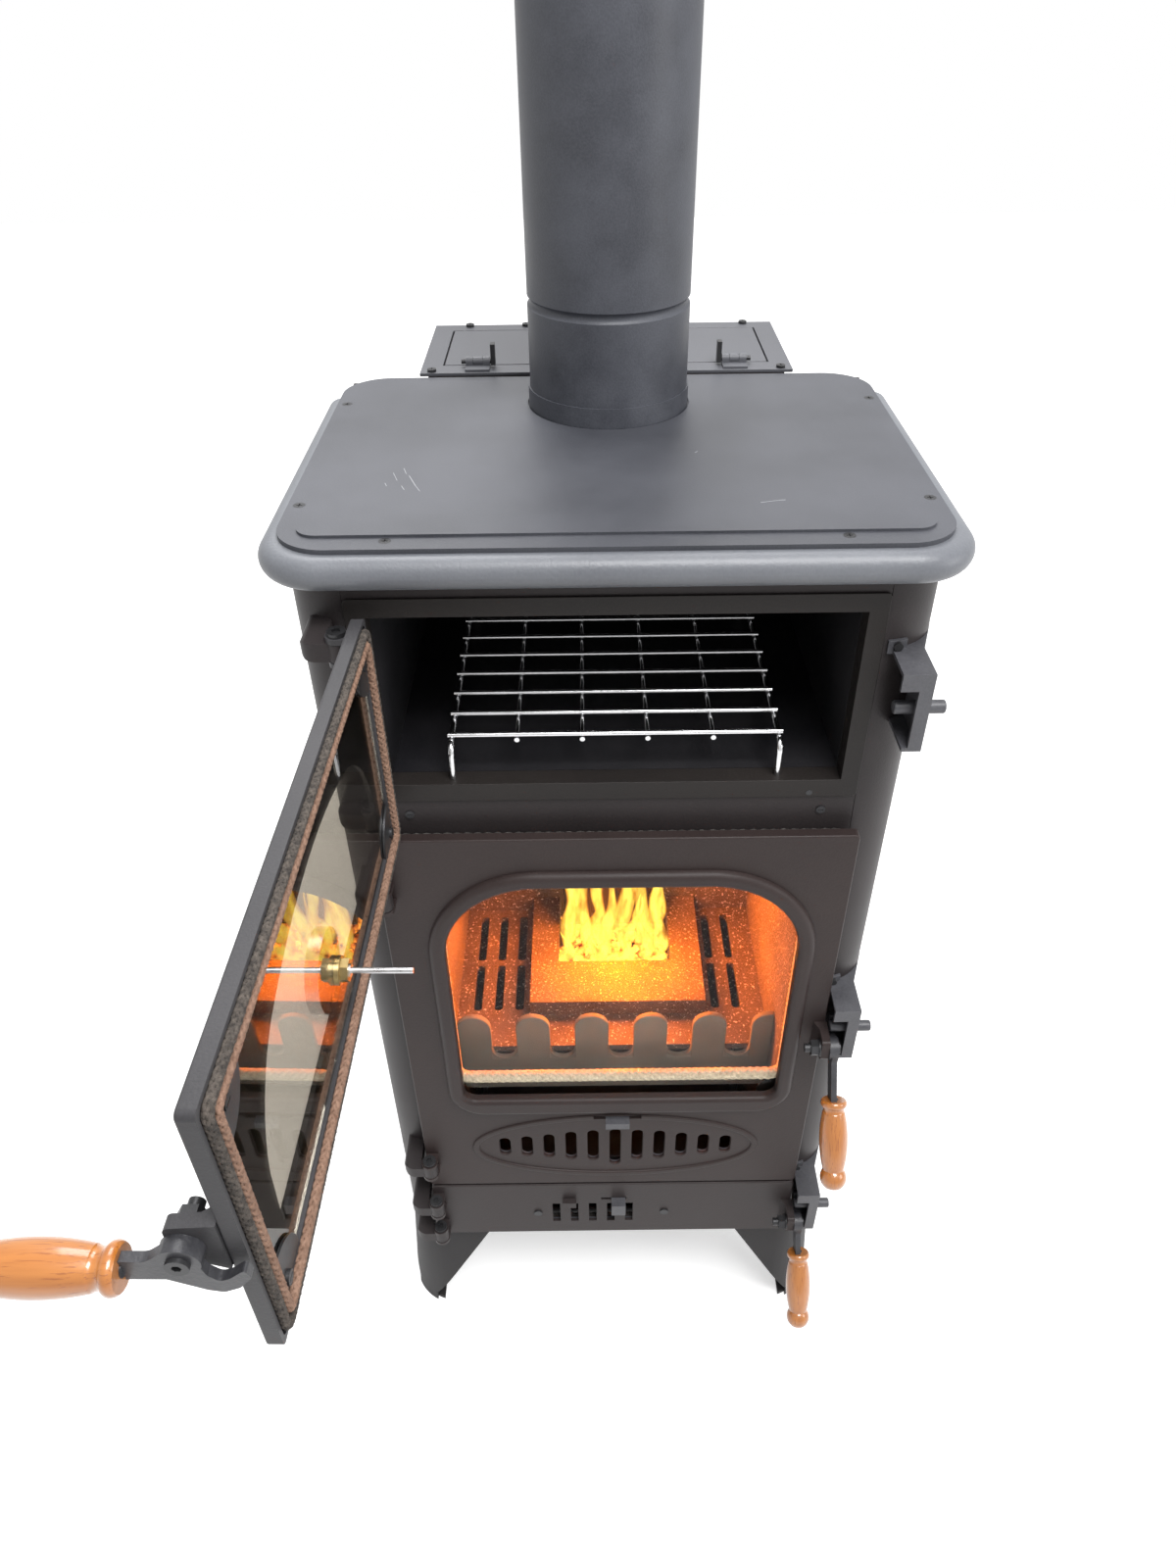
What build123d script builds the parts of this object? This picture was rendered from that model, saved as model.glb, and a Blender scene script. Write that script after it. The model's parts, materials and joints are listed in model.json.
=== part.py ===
from build123d import *
import os

# A pellet stove with an oven, in millimetres.
# X is to the right of someone facing the stove, Y is to its back, Z is up.
# The origin is on the floor, at the centre of the four holes in the feet.

# Casing: sheet steel with two rounded front columns
CASING_WIDTH = 458.0
CASING_DEPTH = 330.0
CASING_BOTTOM = 160.0
CASING_TOP = 971.0
COLUMN_RADIUS = 42.0
SHEET = 3.0
HALF_W = CASING_WIDTH / 2
COLUMN_X = HALF_W - COLUMN_RADIUS
FRONT = -CASING_DEPTH / 2
BACK = CASING_DEPTH / 2
COLUMN_Y = FRONT + COLUMN_RADIUS

# Hob: a bullnose rim and a plate with a raised panel
RIM_OVERHANG = 13.5
RIM_FRONT_OVERHANG = 22.0
RIM_THICKNESS = 23.5
RIM_CORNER = 45.0
RIM_BAR = 42.0
RIM_REAR_SETBACK = 30.0
HOB_FRONT_OVERHANG = 8.5
HOB_REAR_OVERHANG = 1.4
HOB_THICKNESS = 3.5
HOB_CORNER = 38.0
PANEL_RISE = 2.0
PANEL_SIDE_MARGIN = 14.0
PANEL_FRONT_MARGIN = 17.5
PANEL_REAR_MARGIN = 13.4
PANEL_CORNER = 15.0
RIM_TOP = CASING_TOP + RIM_THICKNESS
HOB_LOW = RIM_TOP + HOB_THICKNESS
HOB_TOP = HOB_LOW + PANEL_RISE
HOB_SCREW_RADIUS = 2.5
HOB_SCREW_HEAD = 4.2
HOB_SCREW_HEAD_DEPTH = 3.0
HOB_SCREW_LENGTH = 16.0
HOB_SCREW_CLEARANCE = 0.1
HOB_SCREW_FRONT = (HALF_W - 76.0, FRONT + 4.0)
HOB_SCREW_SIDE_X = HALF_W - 8.2
HOB_SCREW_SIDE_Y = (FRONT + 62.0, BACK - 64.5)
CROSS_SLOT_WIDTH = 0.9
CROSS_SLOT_DEPTH = 0.8

# Flue
FLUE_BACK = BACK - 69.0
PIPE_RADIUS = 65.0
PIPE_WALL = 1.5
PIPE_LENGTH = 500.0
PIPE_BEAD_HEIGHT = 78.4
PIPE_BEAD_WIDTH = 7.7
PIPE_BEAD_DEPTH = 2.0
COLLAR_WALL = 1.4
COLLAR_HEIGHT = 15.5
COLLAR_LEDGE = 3.0
COLLAR_CLEARANCE = 1.0
SPIGOT_DEPTH = 12.0
SPIGOT_CLEARANCE = 0.3

# Oven
OVEN_FRAME_SIDE = 14.0
OVEN_FRAME_BELOW = 16.5
OVEN_FRAME_ABOVE = 14.5
OVEN_FRAME_RISE = 2.0
OVEN_FRAME_CORNER = 4.0
OVEN_SLEEVE = 15.0
OVEN_HALF_WIDTH = COLUMN_X - OVEN_FRAME_SIDE
OVEN_HEIGHT = 146.0
OVEN_DEPTH = CASING_DEPTH - 40.0
OVEN_WALL = 2.0
OVEN_TOP = CASING_TOP - 27.5
OVEN_BOTTOM = OVEN_TOP - OVEN_HEIGHT

# Wire rack in the oven: two bent side wires, with long and cross wires lying across them
RACK_WIRE = 2.5
RACK_THIN_WIRE = 2.0
RACK_HALF_WIDTH = 125.0
RACK_HEIGHT = 29.5
RACK_DEPTH = OVEN_DEPTH - 40.0
RACK_SETBACK = 6.0
RACK_BEND = 8.0
RACK_FLOOR_GAP = 0.3
RACK_CROSS_WIRES = 9
RACK_LONG_WIRES = 4

# Fire and ash openings in the front
OPENING_HALF_WIDTH = COLUMN_X - 15.0
ASH_OPENING_BOTTOM = CASING_BOTTOM + 30.0
ASH_OPENING_TOP = ASH_OPENING_BOTTOM + 61.5
FIRE_OPENING_BOTTOM = ASH_OPENING_TOP + 39.5
FIRE_OPENING_TOP = OVEN_BOTTOM - 63.5

# Doors
DOOR_FACE = 18.0
DOOR_THICKNESS = 9.0
DOOR_SKIN = 3.0
DOOR_EDGE_ROUNDING = 1.5
DOOR_CORNER = 4.0
DOOR_HALF_WIDTH = COLUMN_X + 5.0
OVEN_DOOR_BOTTOM = OVEN_BOTTOM - 32.5
OVEN_DOOR_TOP = OVEN_TOP + 13.5
FIRE_DOOR_BOTTOM = FIRE_OPENING_BOTTOM - 20.0
FIRE_DOOR_TOP = FIRE_OPENING_TOP + 20.0
ASH_DOOR_BOTTOM = ASH_OPENING_BOTTOM - 16.0
ASH_DOOR_TOP = ASH_OPENING_TOP + 16.0
OVEN_DOOR_REST_ANGLE = 91.0
DOOR_OUT = FRONT - DOOR_FACE
DOOR_IN = DOOR_OUT + DOOR_THICKNESS
CHANNEL_FLOOR = DOOR_OUT + DOOR_SKIN

# Door seals: a round rope pressed into a channel
CHANNEL_WALL = 3.0
CHANNEL_WIDTH = 11.0
DOOR_INSET = 2 * CHANNEL_WALL + CHANNEL_WIDTH
ROPE_SQUEEZE = 0.25
SEAL_GAP = 0.4
SEAL_ROUNDING = 4.0

# Door hinges: two eyes on the door, one barrel on the casing, one bolt through them
HINGE_X = -COLUMN_X
HINGE_OUT = 28.0
HINGE_Y = FRONT - HINGE_OUT
EYE_RADIUS = 8.0
EYE_HEIGHT = 4.0
EYE_GAP = 0.5
EYE_WEB = 4.0
BARREL_RADIUS = 7.5
BARREL_HEIGHT = 14.0
LUG_ARM = 27.0
LUG_NECK = 12.0
LUG_HALF = 5.0
LUG_ROUNDING = 12.0
LUG_CORNER = 5.0
LUG_DOOR_GAP = 1.2
HINGE_BOLT_RADIUS = 4.0
HINGE_BOLT_HEAD_RADIUS = 6.5
HINGE_BOLT_HEAD = 3.0
HINGE_BOLT_TAIL = 2.0
HINGE_SOCKET = 3.2
HINGE_SOCKET_DEPTH = 2.0
HEAD_GAP = 0.1
RUNNING_CLEARANCE = 0.06
OVEN_HINGES = (OVEN_DOOR_TOP - 22.0, OVEN_DOOR_BOTTOM + 22.0)
FIRE_HINGES = (FIRE_DOOR_TOP - 54.0, FIRE_DOOR_BOTTOM + 46.0)
ASH_HINGES = (ASH_DOOR_TOP - 24.5, ASH_DOOR_BOTTOM + 18.0)

# Latches: a hooked lever on the door and a keeper with a pin on the casing
LEVER_X = COLUMN_X + 9.4
LEVER_THICKNESS = 5.2
LEVER_PIVOT_OUT = 35.0
LEVER_BOSS = 10.0
LEVER_ARM_HALF_HEIGHT = 7.4
LEVER_ARM_DROP = 6.0
OVEN_LEVER_ARM = 26.0
FIRE_LEVER_ARM = 51.0
ASH_LEVER_ARM = 37.0
LEVER_BOLT_RADIUS = 4.0
LEVER_BUTTON_RADIUS = 5.5
LEVER_BUTTON = 2.2
LEVER_SOCKET = 2.4
LEVER_SOCKET_DEPTH = 1.6
LEVER_WASHER = 8.0
LEVER_WASHER_SHEET = 1.6
LEVER_NUT = 7.5
LEVER_NUT_LENGTH = 7.0
LATCH_TURN = 57.0
PIVOT_Y = FRONT - LEVER_PIVOT_OUT
KEEPER_PIN_RADIUS = 5.0
KEEPER_PIN_OUT = 22.0
KEEPER_PIN_ABOVE_PIVOT = 14.5
KEEPER_PIN_ROUNDING = 1.5
KEEPER_PIN_X = (COLUMN_X + 8.0, COLUMN_X + 45.0)
KEEPER_X = (COLUMN_X + 7.0, COLUMN_X + 30.0)
KEEPER_CUT_X = COLUMN_X + 20.0
KEEPER_Y = FRONT - KEEPER_PIN_OUT
KEEPER_ABOVE_PIN = 35.0
KEEPER_CUT_ABOVE_PIN = 21.0
KEEPER_BELOW_PIN = 30.0
KEEPER_FLOOR_WIDTH = 11.5
KEEPER_FLOOR_SETBACK = 8.0
KEEPER_TAB_HEIGHT = 7.0
KEEPER_TAB_X = (COLUMN_X + 3.0, COLUMN_X + 17.0)
KEEPER_BOLT_RADIUS = 3.2
KEEPER_BOLT_HEAD = 2.0
OVEN_PIN_Z = OVEN_TOP - 65.0
FIRE_PIN_Z = FIRE_DOOR_TOP - 225.0
ASH_PIN_Z = ASH_DOOR_TOP - 34.0
OVEN_PIVOT_Z = OVEN_PIN_Z - KEEPER_PIN_ABOVE_PIVOT
FIRE_PIVOT_Z = FIRE_PIN_Z - KEEPER_PIN_ABOVE_PIVOT
ASH_PIVOT_Z = ASH_PIN_Z - KEEPER_PIN_ABOVE_PIVOT
BRACKET_X = (COLUMN_X - 1.0, COLUMN_X + 6.3)
BRACKET_OUT = 42.0
BRACKET_ABOVE_PIVOT = 15.5
BRACKET_BELOW_PIVOT = 20.0
BRACKET_ROOT = 5.0
BRACKET_ROOT_LENGTH = 8.0

# Turned wooden handle
HANDLE_LENGTH = 83.0
HANDLE_RADIUS = 13.0
HANDLE_COLLAR = 12.0
HANDLE_NECK = 9.5
HANDLE_BEAD = 12.0
HANDLE_X = COLUMN_X + 13.5
TANG_RADIUS = 4.0
TANG_LENGTH = 40.0
TANG_ROOT = 0.5
TANG_END_GAP = 0.5
TANG_CLEARANCE = 0.05

# Oven window and glass
OVEN_WINDOW_HALF_WIDTH = COLUMN_X - 38.0
OVEN_WINDOW_BOTTOM = OVEN_DOOR_BOTTOM + 42.0
OVEN_WINDOW_TOP = OVEN_DOOR_TOP - 40.0
GLASS_THICKNESS = 4.0
GLASS_CLEARANCE = 0.3
GLASS_EDGE_CLEARANCE = 2.0
GLASS_CORNER_CUT = 18.0
GLASS_IN = CHANNEL_FLOOR + GLASS_CLEARANCE + GLASS_THICKNESS
CLIP_RADIUS = 28.0
CLIP_SHEET = 1.5
CLIP_BOSS_RADIUS = 4.5
CLIP_BOSS_INSET = 6.5
CLIP_CORNER_INSET = 1.0
CLIP_SCREW_RADIUS = 2.0
CLIP_SCREW_LENGTH = 4.5
CLIP_SCREW_HEAD_RADIUS = 4.0
CLIP_SCREW_HEAD = 2.0
SCREW_CLEARANCE = 0.05

# Oven thermometer, through the glass
THERMOMETER_Z = OVEN_WINDOW_BOTTOM + 19.0
DIAL_RADIUS = 26.0
DIAL_DEPTH = 8.0
DIAL_BEZEL = 2.0
DIAL_RECESS = 1.5
DIAL_GAP = 0.2
PROBE_RADIUS = 1.8
PROBE_LENGTH = 46.0
PROBE_STEM_RADIUS = 4.0
PROBE_HOLE_CLEARANCE = 0.5
PROBE_NUT_RADIUS = 9.0
PROBE_NUT_LENGTH = 9.0
PROBE_NUT_FLANGE = 3.0

# Fire window and glass
WINDOW_X = 6.0
WINDOW_HALF_WIDTH = COLUMN_X - 37.0
WINDOW_BOTTOM = FIRE_OPENING_BOTTOM + 132.0
WINDOW_TOP = FIRE_OPENING_TOP - 29.0
WINDOW_SHOULDER = 80.0
WINDOW_CORNER = 12.0
LIP_WIDTH = 15.0
LIP_BELOW = 23.0
LIP_RISE = 7.0
LIP_ROUNDING = 6.5
LIP_INNER_ROUNDING = 5.0
GLASS_ROPE = 9.0
GLASS_ROPE_RISE = 16.0
GLASS_ROPE_FOOT = 6.5
GLASS_ROPE_MARGIN = 2.0
GLASS_ROPE_CORNERS = (14.0, 6.0)
SEAT_GAP = 1.5
SEAT_BELOW = 19.0

# Fire air vent: an oval with slots and a sliding plate behind it
VENT_X = 2.0
VENT_Z = FIRE_DOOR_BOTTOM + 68.0
VENT_HALF_WIDTH = 145.0
VENT_HALF_HEIGHT = 53.0
VENT_RING_WIDTH = 7.0
VENT_RING_RISE = 1.8
VENT_RIM_ROUNDING = 1.4
VENT_SLOTS = 11
VENT_PITCH = 22.4
VENT_SLOT_WIDTH = 11.0
VENT_SLOT_HEIGHTS = (61.0, 51.0, 47.0, 39.0, 33.0, 28.0)
VENT_MIDDLE_DROP = 3.0
VENT_TALL = VENT_SLOT_HEIGHTS[0]
SLIDER_SHEET = 1.5
SLIDER_GAP = 0.3
SLIDER_BORDER = 6.0
GUIDE_RAIL = 6.0
GUIDE_LIP = 3.0
GUIDE_GAP = 0.4
GUIDE_SHEET = 1.5
FIRE_SLIDER_TRAVEL = 11.0
FIRE_TAB_X = 4.0
FIRE_TAB_WIDTH = 23.5
FIRE_TAB_Z = (VENT_Z + 42.5, VENT_Z + 51.0)
TAB_OUT = 10.0
TAB_SHEET = 2.0
TAB_SLIT = 3.0
TAB_SLIT_CLEARANCE = 1.0

# Ash door air slots
ASH_SLOTS = 5
ASH_SLOT_X = -61.0
ASH_SLOT_PITCH = 19.7
ASH_SLOT_WIDTH = 8.3
ASH_SLOT_Z = (ASH_DOOR_BOTTOM + 22.0, ASH_DOOR_BOTTOM + 57.0)
ASH_SLIDER_TRAVEL = 10.0
ASH_SLIDER_BORDER = 8.0
ASH_TAB_X = (-1.4, 13.6)
ASH_FIXED_TAB_X = (-53.6, -39.3)
ASH_FIXED_TAB_OUT = 6.0
ASH_TAB_Z = (ASH_DOOR_BOTTOM + 49.0, ASH_DOOR_BOTTOM + 67.0)
ASH_RIVET_X = (-81.0, 56.0)
ASH_RIVET_Z = ASH_DOOR_BOTTOM + 40.0
RIVET_RADIUS = 2.5
RIVET_HEAD = 4.5
RIVET_HEAD_HEIGHT = 1.6

# Fire chamber
LINER_HALF_WIDTH = COLUMN_X - 27.0
LINER_WALL = 8.0
LINER_BACK = BACK - 90.0
LINER_TOP = FIRE_OPENING_TOP + 6.0
GRATE_TOP = WINDOW_BOTTOM - 3.0
GRATE_THICKNESS = 8.0
GRATE_SLOT_WIDTH = 9.0
GRATE_SLOT_PITCH = 22.0
GRATE_FIRST_SLOT = 12.1
GRATE_ROWS_Y = ((LINER_BACK - 147.0, LINER_BACK - 85.0), (LINER_BACK - 77.0, LINER_BACK - 11.0))
GUARD_Y = FRONT + 40.0
GUARD_THICKNESS = 6.0
GUARD_CREST = GRATE_TOP + 51.0
GUARD_VALLEY = GUARD_CREST - 63.0
GUARD_FOOT = GUARD_VALLEY - 48.0
GUARD_PITCH = 58.8
GUARD_X = WINDOW_X + 3.0
GUARD_CREST_WIDTH = 34.0
BURNER_X = (-84.0, 98.0)
BURNER_FRONT = GUARD_Y + 46.0
BURNER_TOP = GRATE_TOP + 20.0
BURNER_WALL = 8.0
BURNER_SKIRT = 40.0
POT_X = (-55.0, 66.0)
POT_FRONT = BURNER_FRONT + 56.0
POT_DEPTH = 40.0
POT_SLOTS = 5
POT_SLOT_WIDTH = 6.0
POT_SLOT_Y = (POT_FRONT + 10.0, LINER_BACK - 15.0)
BAFFLE_THICKNESS = 4.0
BAFFLE_GAP = 55.0

# Hopper behind the casing
HOPPER_GAP = 7.0
HOPPER_HALF_WIDTH = COLUMN_X - 27.0
HOPPER_DEPTH = 146.0
HOPPER_SHEET = 2.0
HOPPER_TOP = HOB_TOP
HOPPER_FLOOR_FRONT = HOPPER_TOP - 460.0
HOPPER_FLOOR_BACK = HOPPER_TOP - 360.0
HOPPER_FRONT = BACK + HOPPER_GAP
HOPPER_BACK = HOPPER_FRONT + HOPPER_DEPTH
HOPPER_FRAME_OVERHANG = 7.5
HOPPER_FRAME_REAR = 2.0
HOPPER_MOUTH_MARGIN = 14.0
HOPPER_SCREWS = (
    (27.0 - HOPPER_HALF_WIDTH, HOPPER_BACK - 3.0),
    (83.0 - HOPPER_HALF_WIDTH, HOPPER_BACK - 3.0),
    (HOPPER_HALF_WIDTH - 21.0, HOPPER_BACK - 3.0),
    (3.0 - HOPPER_HALF_WIDTH, HOPPER_FRONT + 5.0),
    (HOPPER_HALF_WIDTH - 3.0, HOPPER_FRONT + 5.0),
)
PAN_HEAD_RADIUS = 4.0
PAN_HEAD_HEIGHT = 2.4
PAN_HEAD_SLOT = 5.0
STAY_X = (100.0, 130.0)
STAY_Z = (HOPPER_FLOOR_FRONT + 60.0, CASING_TOP - 20.0)
LID_HALF_WIDTH = HOPPER_HALF_WIDTH - 13.0
LID_FRONT = 23.0
LID_BACK = 128.0
LID_GAP = 1.5
LID_SHEET = 2.0
LID_GASKET = 1.0
LID_LOW = HOPPER_TOP - SHEET + LID_GASKET + 0.1
LID_HINGE_X = LID_HALF_WIDTH - 31.0
LID_HINGE_WIDTH = 22.0
LID_KNUCKLE = 6.5
LID_KNUCKLE_GAP = 0.3
LID_LEAF_REACH = 22.0
LID_LEAF_SHEET = 2.0
LID_PIN_RADIUS = 2.2
LID_PIN_GRIP = 16.0
LID_PIN_GRIP_Y = (-6.0, 2.0)
LID_PIN_GRIP_X = (-5.0, -1.0)
LID_PIN_TAIL = 4.0
LID_KNUCKLE_RADIUS = 4.2
LID_HINGE_Y = HOPPER_FRONT + LID_FRONT - 5.0
LID_HINGE_Z = HOPPER_TOP + LID_KNUCKLE_RADIUS + 0.4

# Chute from the hopper to the burner
CHUTE_HALF_WIDTH = 50.0
CHUTE_HEIGHT = 56.0
CHUTE_FRONT_Z = BURNER_TOP + 2.0
CHUTE_FRONT_Y = LINER_BACK - 45.0
CHUTE_WINDOW_SIDE = 1.0
CHUTE_WINDOW_END = 2.0

# Ash pan
PAN_HALF_WIDTH = OPENING_HALF_WIDTH - 22.0
PAN_HEIGHT = 52.0
PAN_SHEET = 1.5
PAN_FRONT = FRONT + SHEET + 6.0
PAN_DEPTH = LINER_BACK - 16.0 - PAN_FRONT
RUNNER_TOP = ASH_OPENING_BOTTOM + 1.0
RUNNER_FRONT = FRONT + 20.0
RUNNER_BACK = LINER_BACK - 5.0
RUNNER_INSET = (8.0, 20.0)

# Legs
LEG_SHEET = 4.0
LEG_SPLAY = 12.0
LEG_INNER = HALF_W - 89.0
LEG_SIDE_REACH = 89.0
LEG_SHOULDER = CASING_BOTTOM - 15.0
LEG_TIP = HALF_W - 18.0
LEG_TIP_HEIGHT = 14.0
LEG_SIDE_TIP = 18.0
FOOT_THICKNESS = 5.0
FOOT_HOLE_X = HALF_W - 13.0
FOOT_HOLE_Y = CASING_DEPTH / 2 - 13.0
FOOT_HOLE_RADIUS = 4.5

# Screws and a rivet in the front
FRONT_SCREW = (COLUMN_X - 25.5, OVEN_BOTTOM - 30.5)
FRONT_SCREW_RADIUS = 3.6
FRONT_SCREW_HEAD = 1.2
FRONT_SCREW_SLOT = 4.4
FRAME_RIVET = (COLUMN_X - 37.0, OVEN_BOTTOM - 12.0)
FRAME_RIVET_HEAD = 0.3


def block(x, y, z):
    """A box between two values on each axis."""
    size = [high - low for low, high in (x, y, z)]
    centre = [(low + high) / 2 for low, high in (x, y, z)]
    return Pos(*centre) * Box(*size)


def rod_x(radius, x, y, z):
    return Pos((x[0] + x[1]) / 2, y, z) * Rot(0, 90, 0) * Cylinder(radius, x[1] - x[0])


def rod_y(radius, x, y, z):
    return Pos(x, (y[0] + y[1]) / 2, z) * Rot(90, 0, 0) * Cylinder(radius, y[1] - y[0])


def rod_z(radius, x, y, z):
    return Pos(x, y, (z[0] + z[1]) / 2) * Cylinder(radius, z[1] - z[0])


def slab_x(sketch, x):
    """Extrude a sketch drawn in Y and Z."""
    return extrude(Plane.YZ.offset(x[0]) * sketch, amount=x[1] - x[0])


def slab_y(sketch, y):
    """Extrude a sketch drawn in X and Z."""
    return extrude(Plane.XZ.offset(-y[1]) * sketch, amount=y[1] - y[0])


def slab_z(sketch, z):
    """Extrude a sketch drawn in X and Y."""
    return extrude(Plane.XY.offset(z[0]) * sketch, amount=z[1] - z[0])


def rounded(points, radii):
    """A closed outline with one radius for each corner."""
    return make_face(FilletPolyline(*points, radius=radii, close=True))


def rectangle(a, b, radius=0.0):
    """A rectangle between two pairs of values, with rounded corners."""
    points = [(a[0], b[0]), (a[1], b[0]), (a[1], b[1]), (a[0], b[1])]
    return rounded(points, [radius] * 4) if radius else make_face(Polyline(*points, close=True))


def slot(width, length, x, z):
    """An upright slot with round ends."""
    return Pos(x, z) * RectangleRounded(width, length, width / 2 - 0.01)


def casing_outline(inset=0.0):
    """The casing in plan: two round front corners and two square back ones."""
    half = HALF_W - inset
    radius = COLUMN_RADIUS - inset
    points = [(-half, FRONT + inset), (half, FRONT + inset), (half, BACK), (-half, BACK)]
    return rounded(points, [radius, radius, 0, 0])


def casing_body(z, inset=0.0):
    return slab_z(casing_outline(inset), z)


def chute_z(y):
    """Height of the chute's outer floor at a depth."""
    rise = (HOPPER_FLOOR_FRONT - CHUTE_FRONT_Z) / (HOPPER_FRONT - CHUTE_FRONT_Y)
    return CHUTE_FRONT_Z + (y - CHUTE_FRONT_Y) * rise


def chute_window(y):
    """The hole that lets the sloping chute through an upright wall."""
    low = chute_z(y[0]) - CHUTE_WINDOW_END
    high = chute_z(y[1]) + CHUTE_HEIGHT + 2 * HOPPER_SHEET + CHUTE_WINDOW_END
    side = CHUTE_HALF_WIDTH + HOPPER_SHEET + CHUTE_WINDOW_SIDE
    return block((-side, side), (y[0] - 1, y[1] + 1), (low, high))


# Casing


def side_panel(side):
    """A flat side with the rounded front column in one sheet."""
    skin = casing_body((CASING_BOTTOM, CASING_TOP)) - casing_body((CASING_BOTTOM, CASING_TOP), SHEET)
    low, high = sorted((side * COLUMN_X, side * HALF_W))
    return skin & block((low, high), (FRONT, BACK), (CASING_BOTTOM, CASING_TOP))


def front_panel():
    """The flat front between the columns, with the oven, fire and ash openings."""
    x = (-COLUMN_X, COLUMN_X)
    panel = block(x, (FRONT, FRONT + SHEET), (CASING_BOTTOM, CASING_TOP))
    through = (FRONT - 1, FRONT + SHEET + 1)
    side = OVEN_HALF_WIDTH + SHEET
    panel -= block((-side, side), through, (OVEN_BOTTOM - SHEET, OVEN_TOP + SHEET))
    side = (-OPENING_HALF_WIDTH, OPENING_HALF_WIDTH)
    panel -= block(side, through, (FIRE_OPENING_BOTTOM, FIRE_OPENING_TOP))
    panel -= block(side, through, (ASH_OPENING_BOTTOM, ASH_OPENING_TOP))
    return panel


def rear_panel():
    """The back, up to the hob plate, with a window for the chute."""
    x = (-HALF_W + SHEET, HALF_W - SHEET)
    panel = block(x, (BACK - SHEET, BACK), (CASING_BOTTOM, RIM_TOP))
    return panel - chute_window((BACK - SHEET, BACK))


def base_panel():
    """The floor of the casing."""
    body = casing_body((CASING_BOTTOM, CASING_BOTTOM + SHEET), SHEET)
    return body & block((-HALF_W, HALF_W), (FRONT, BACK - SHEET), (CASING_BOTTOM, CASING_TOP))


# Legs


def splayed_body(inset):
    """The casing's outline carried down to the floor, wider there by the splay."""
    low = casing_outline(inset - LEG_SPLAY)
    high = Plane.XY.offset(CASING_BOTTOM) * casing_outline(inset)
    return loft([low, high], ruled=True)


def leg(side, end):
    """An angle leg that splays out of the casing's corner, with a foot plate and a top flange."""
    # It is drawn at the right front corner and mirrored to its own
    outer = splayed_body(0.0)
    inner = splayed_body(LEG_SHEET)
    reach_x = (LEG_INNER, HALF_W + LEG_SPLAY)
    reach_y = (FRONT - LEG_SPLAY, FRONT + LEG_SIDE_REACH)
    shape = (outer - inner) & block(reach_x, reach_y, (0, CASING_BOTTOM))
    slope = [
        (LEG_INNER - 1, -1),
        (LEG_TIP, -1),
        (LEG_TIP, LEG_TIP_HEIGHT),
        (LEG_INNER, LEG_SHOULDER),
        (LEG_INNER - 1, LEG_SHOULDER),
    ]
    flat = COLUMN_RADIUS + LEG_SHEET
    shape -= slab_y(make_face(Polyline(*slope, close=True)), (reach_y[0] - 1, FRONT + flat))
    side_slope = [
        (FRONT + LEG_SIDE_REACH + 1, -1),
        (FRONT + LEG_SIDE_TIP, -1),
        (FRONT + LEG_SIDE_TIP, LEG_TIP_HEIGHT),
        (FRONT + LEG_SIDE_REACH, LEG_SHOULDER),
        (FRONT + LEG_SIDE_REACH + 1, LEG_SHOULDER),
    ]
    shape -= slab_x(make_face(Polyline(*side_slope, close=True)), (COLUMN_X, reach_x[1] + 1))
    foot_x = (FOOT_HOLE_X - 3 * FOOT_HOLE_RADIUS, reach_x[1])
    foot_y = (reach_y[0], -FOOT_HOLE_Y + 3 * FOOT_HOLE_RADIUS)
    shape += inner & block(foot_x, foot_y, (0, FOOT_THICKNESS))
    top = (CASING_BOTTOM - LEG_SHEET, CASING_BOTTOM)
    flange = block((LEG_INNER, HALF_W), (FRONT, FRONT + LEG_SIDE_REACH), top)
    shape += casing_body(top, LEG_SHEET) & flange
    foot_z = (-1, FOOT_THICKNESS + 1)
    shape -= rod_z(FOOT_HOLE_RADIUS, FOOT_HOLE_X, -FOOT_HOLE_Y, foot_z)
    if side < 0:
        shape = mirror(shape, about=Plane.YZ)
    if end > 0:
        shape = mirror(shape, about=Plane.XZ)
    return shape


# Hob


def hob_rim():
    """A bullnose bar along the front and both sides."""
    half = HALF_W + RIM_OVERHANG
    front = FRONT - RIM_FRONT_OVERHANG
    rear = BACK - RIM_REAR_SETBACK
    points = [(-half, front), (half, front), (half, rear), (-half, rear)]
    corners = [RIM_CORNER, RIM_CORNER, RIM_THICKNESS / 2, RIM_THICKNESS / 2]
    rim = slab_z(rounded(points, corners), (CASING_TOP, RIM_TOP))
    nose = rim.edges().filter_by(lambda e: abs(e.center().Z - CASING_TOP) < 0.01)
    rim = fillet(nose, RIM_THICKNESS / 2 - 0.1)
    nose = rim.edges().filter_by(
        lambda e: abs(e.bounding_box().min.Z - RIM_TOP) < 0.01
        and abs(e.bounding_box().max.Z - RIM_TOP) < 0.01
    )
    rim = fillet(nose, RIM_THICKNESS / 2 - 0.1)
    inner = half - RIM_BAR
    rim -= block((-inner, inner), (front + RIM_BAR, rear + 1), (CASING_TOP - 1, RIM_TOP + 1))
    for x, y in hob_screw_places():
        low = HOB_LOW - HOB_SCREW_LENGTH - HOB_SCREW_CLEARANCE
        rim -= rod_z(HOB_SCREW_RADIUS + HOB_SCREW_CLEARANCE, x, y, (low, RIM_TOP + 1))
    return rim


def hob_screw_places():
    places = []
    for side in (-1, 1):
        places.append((side * HOB_SCREW_FRONT[0], HOB_SCREW_FRONT[1]))
        places.extend((side * HOB_SCREW_SIDE_X, y) for y in HOB_SCREW_SIDE_Y)
    return places


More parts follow.
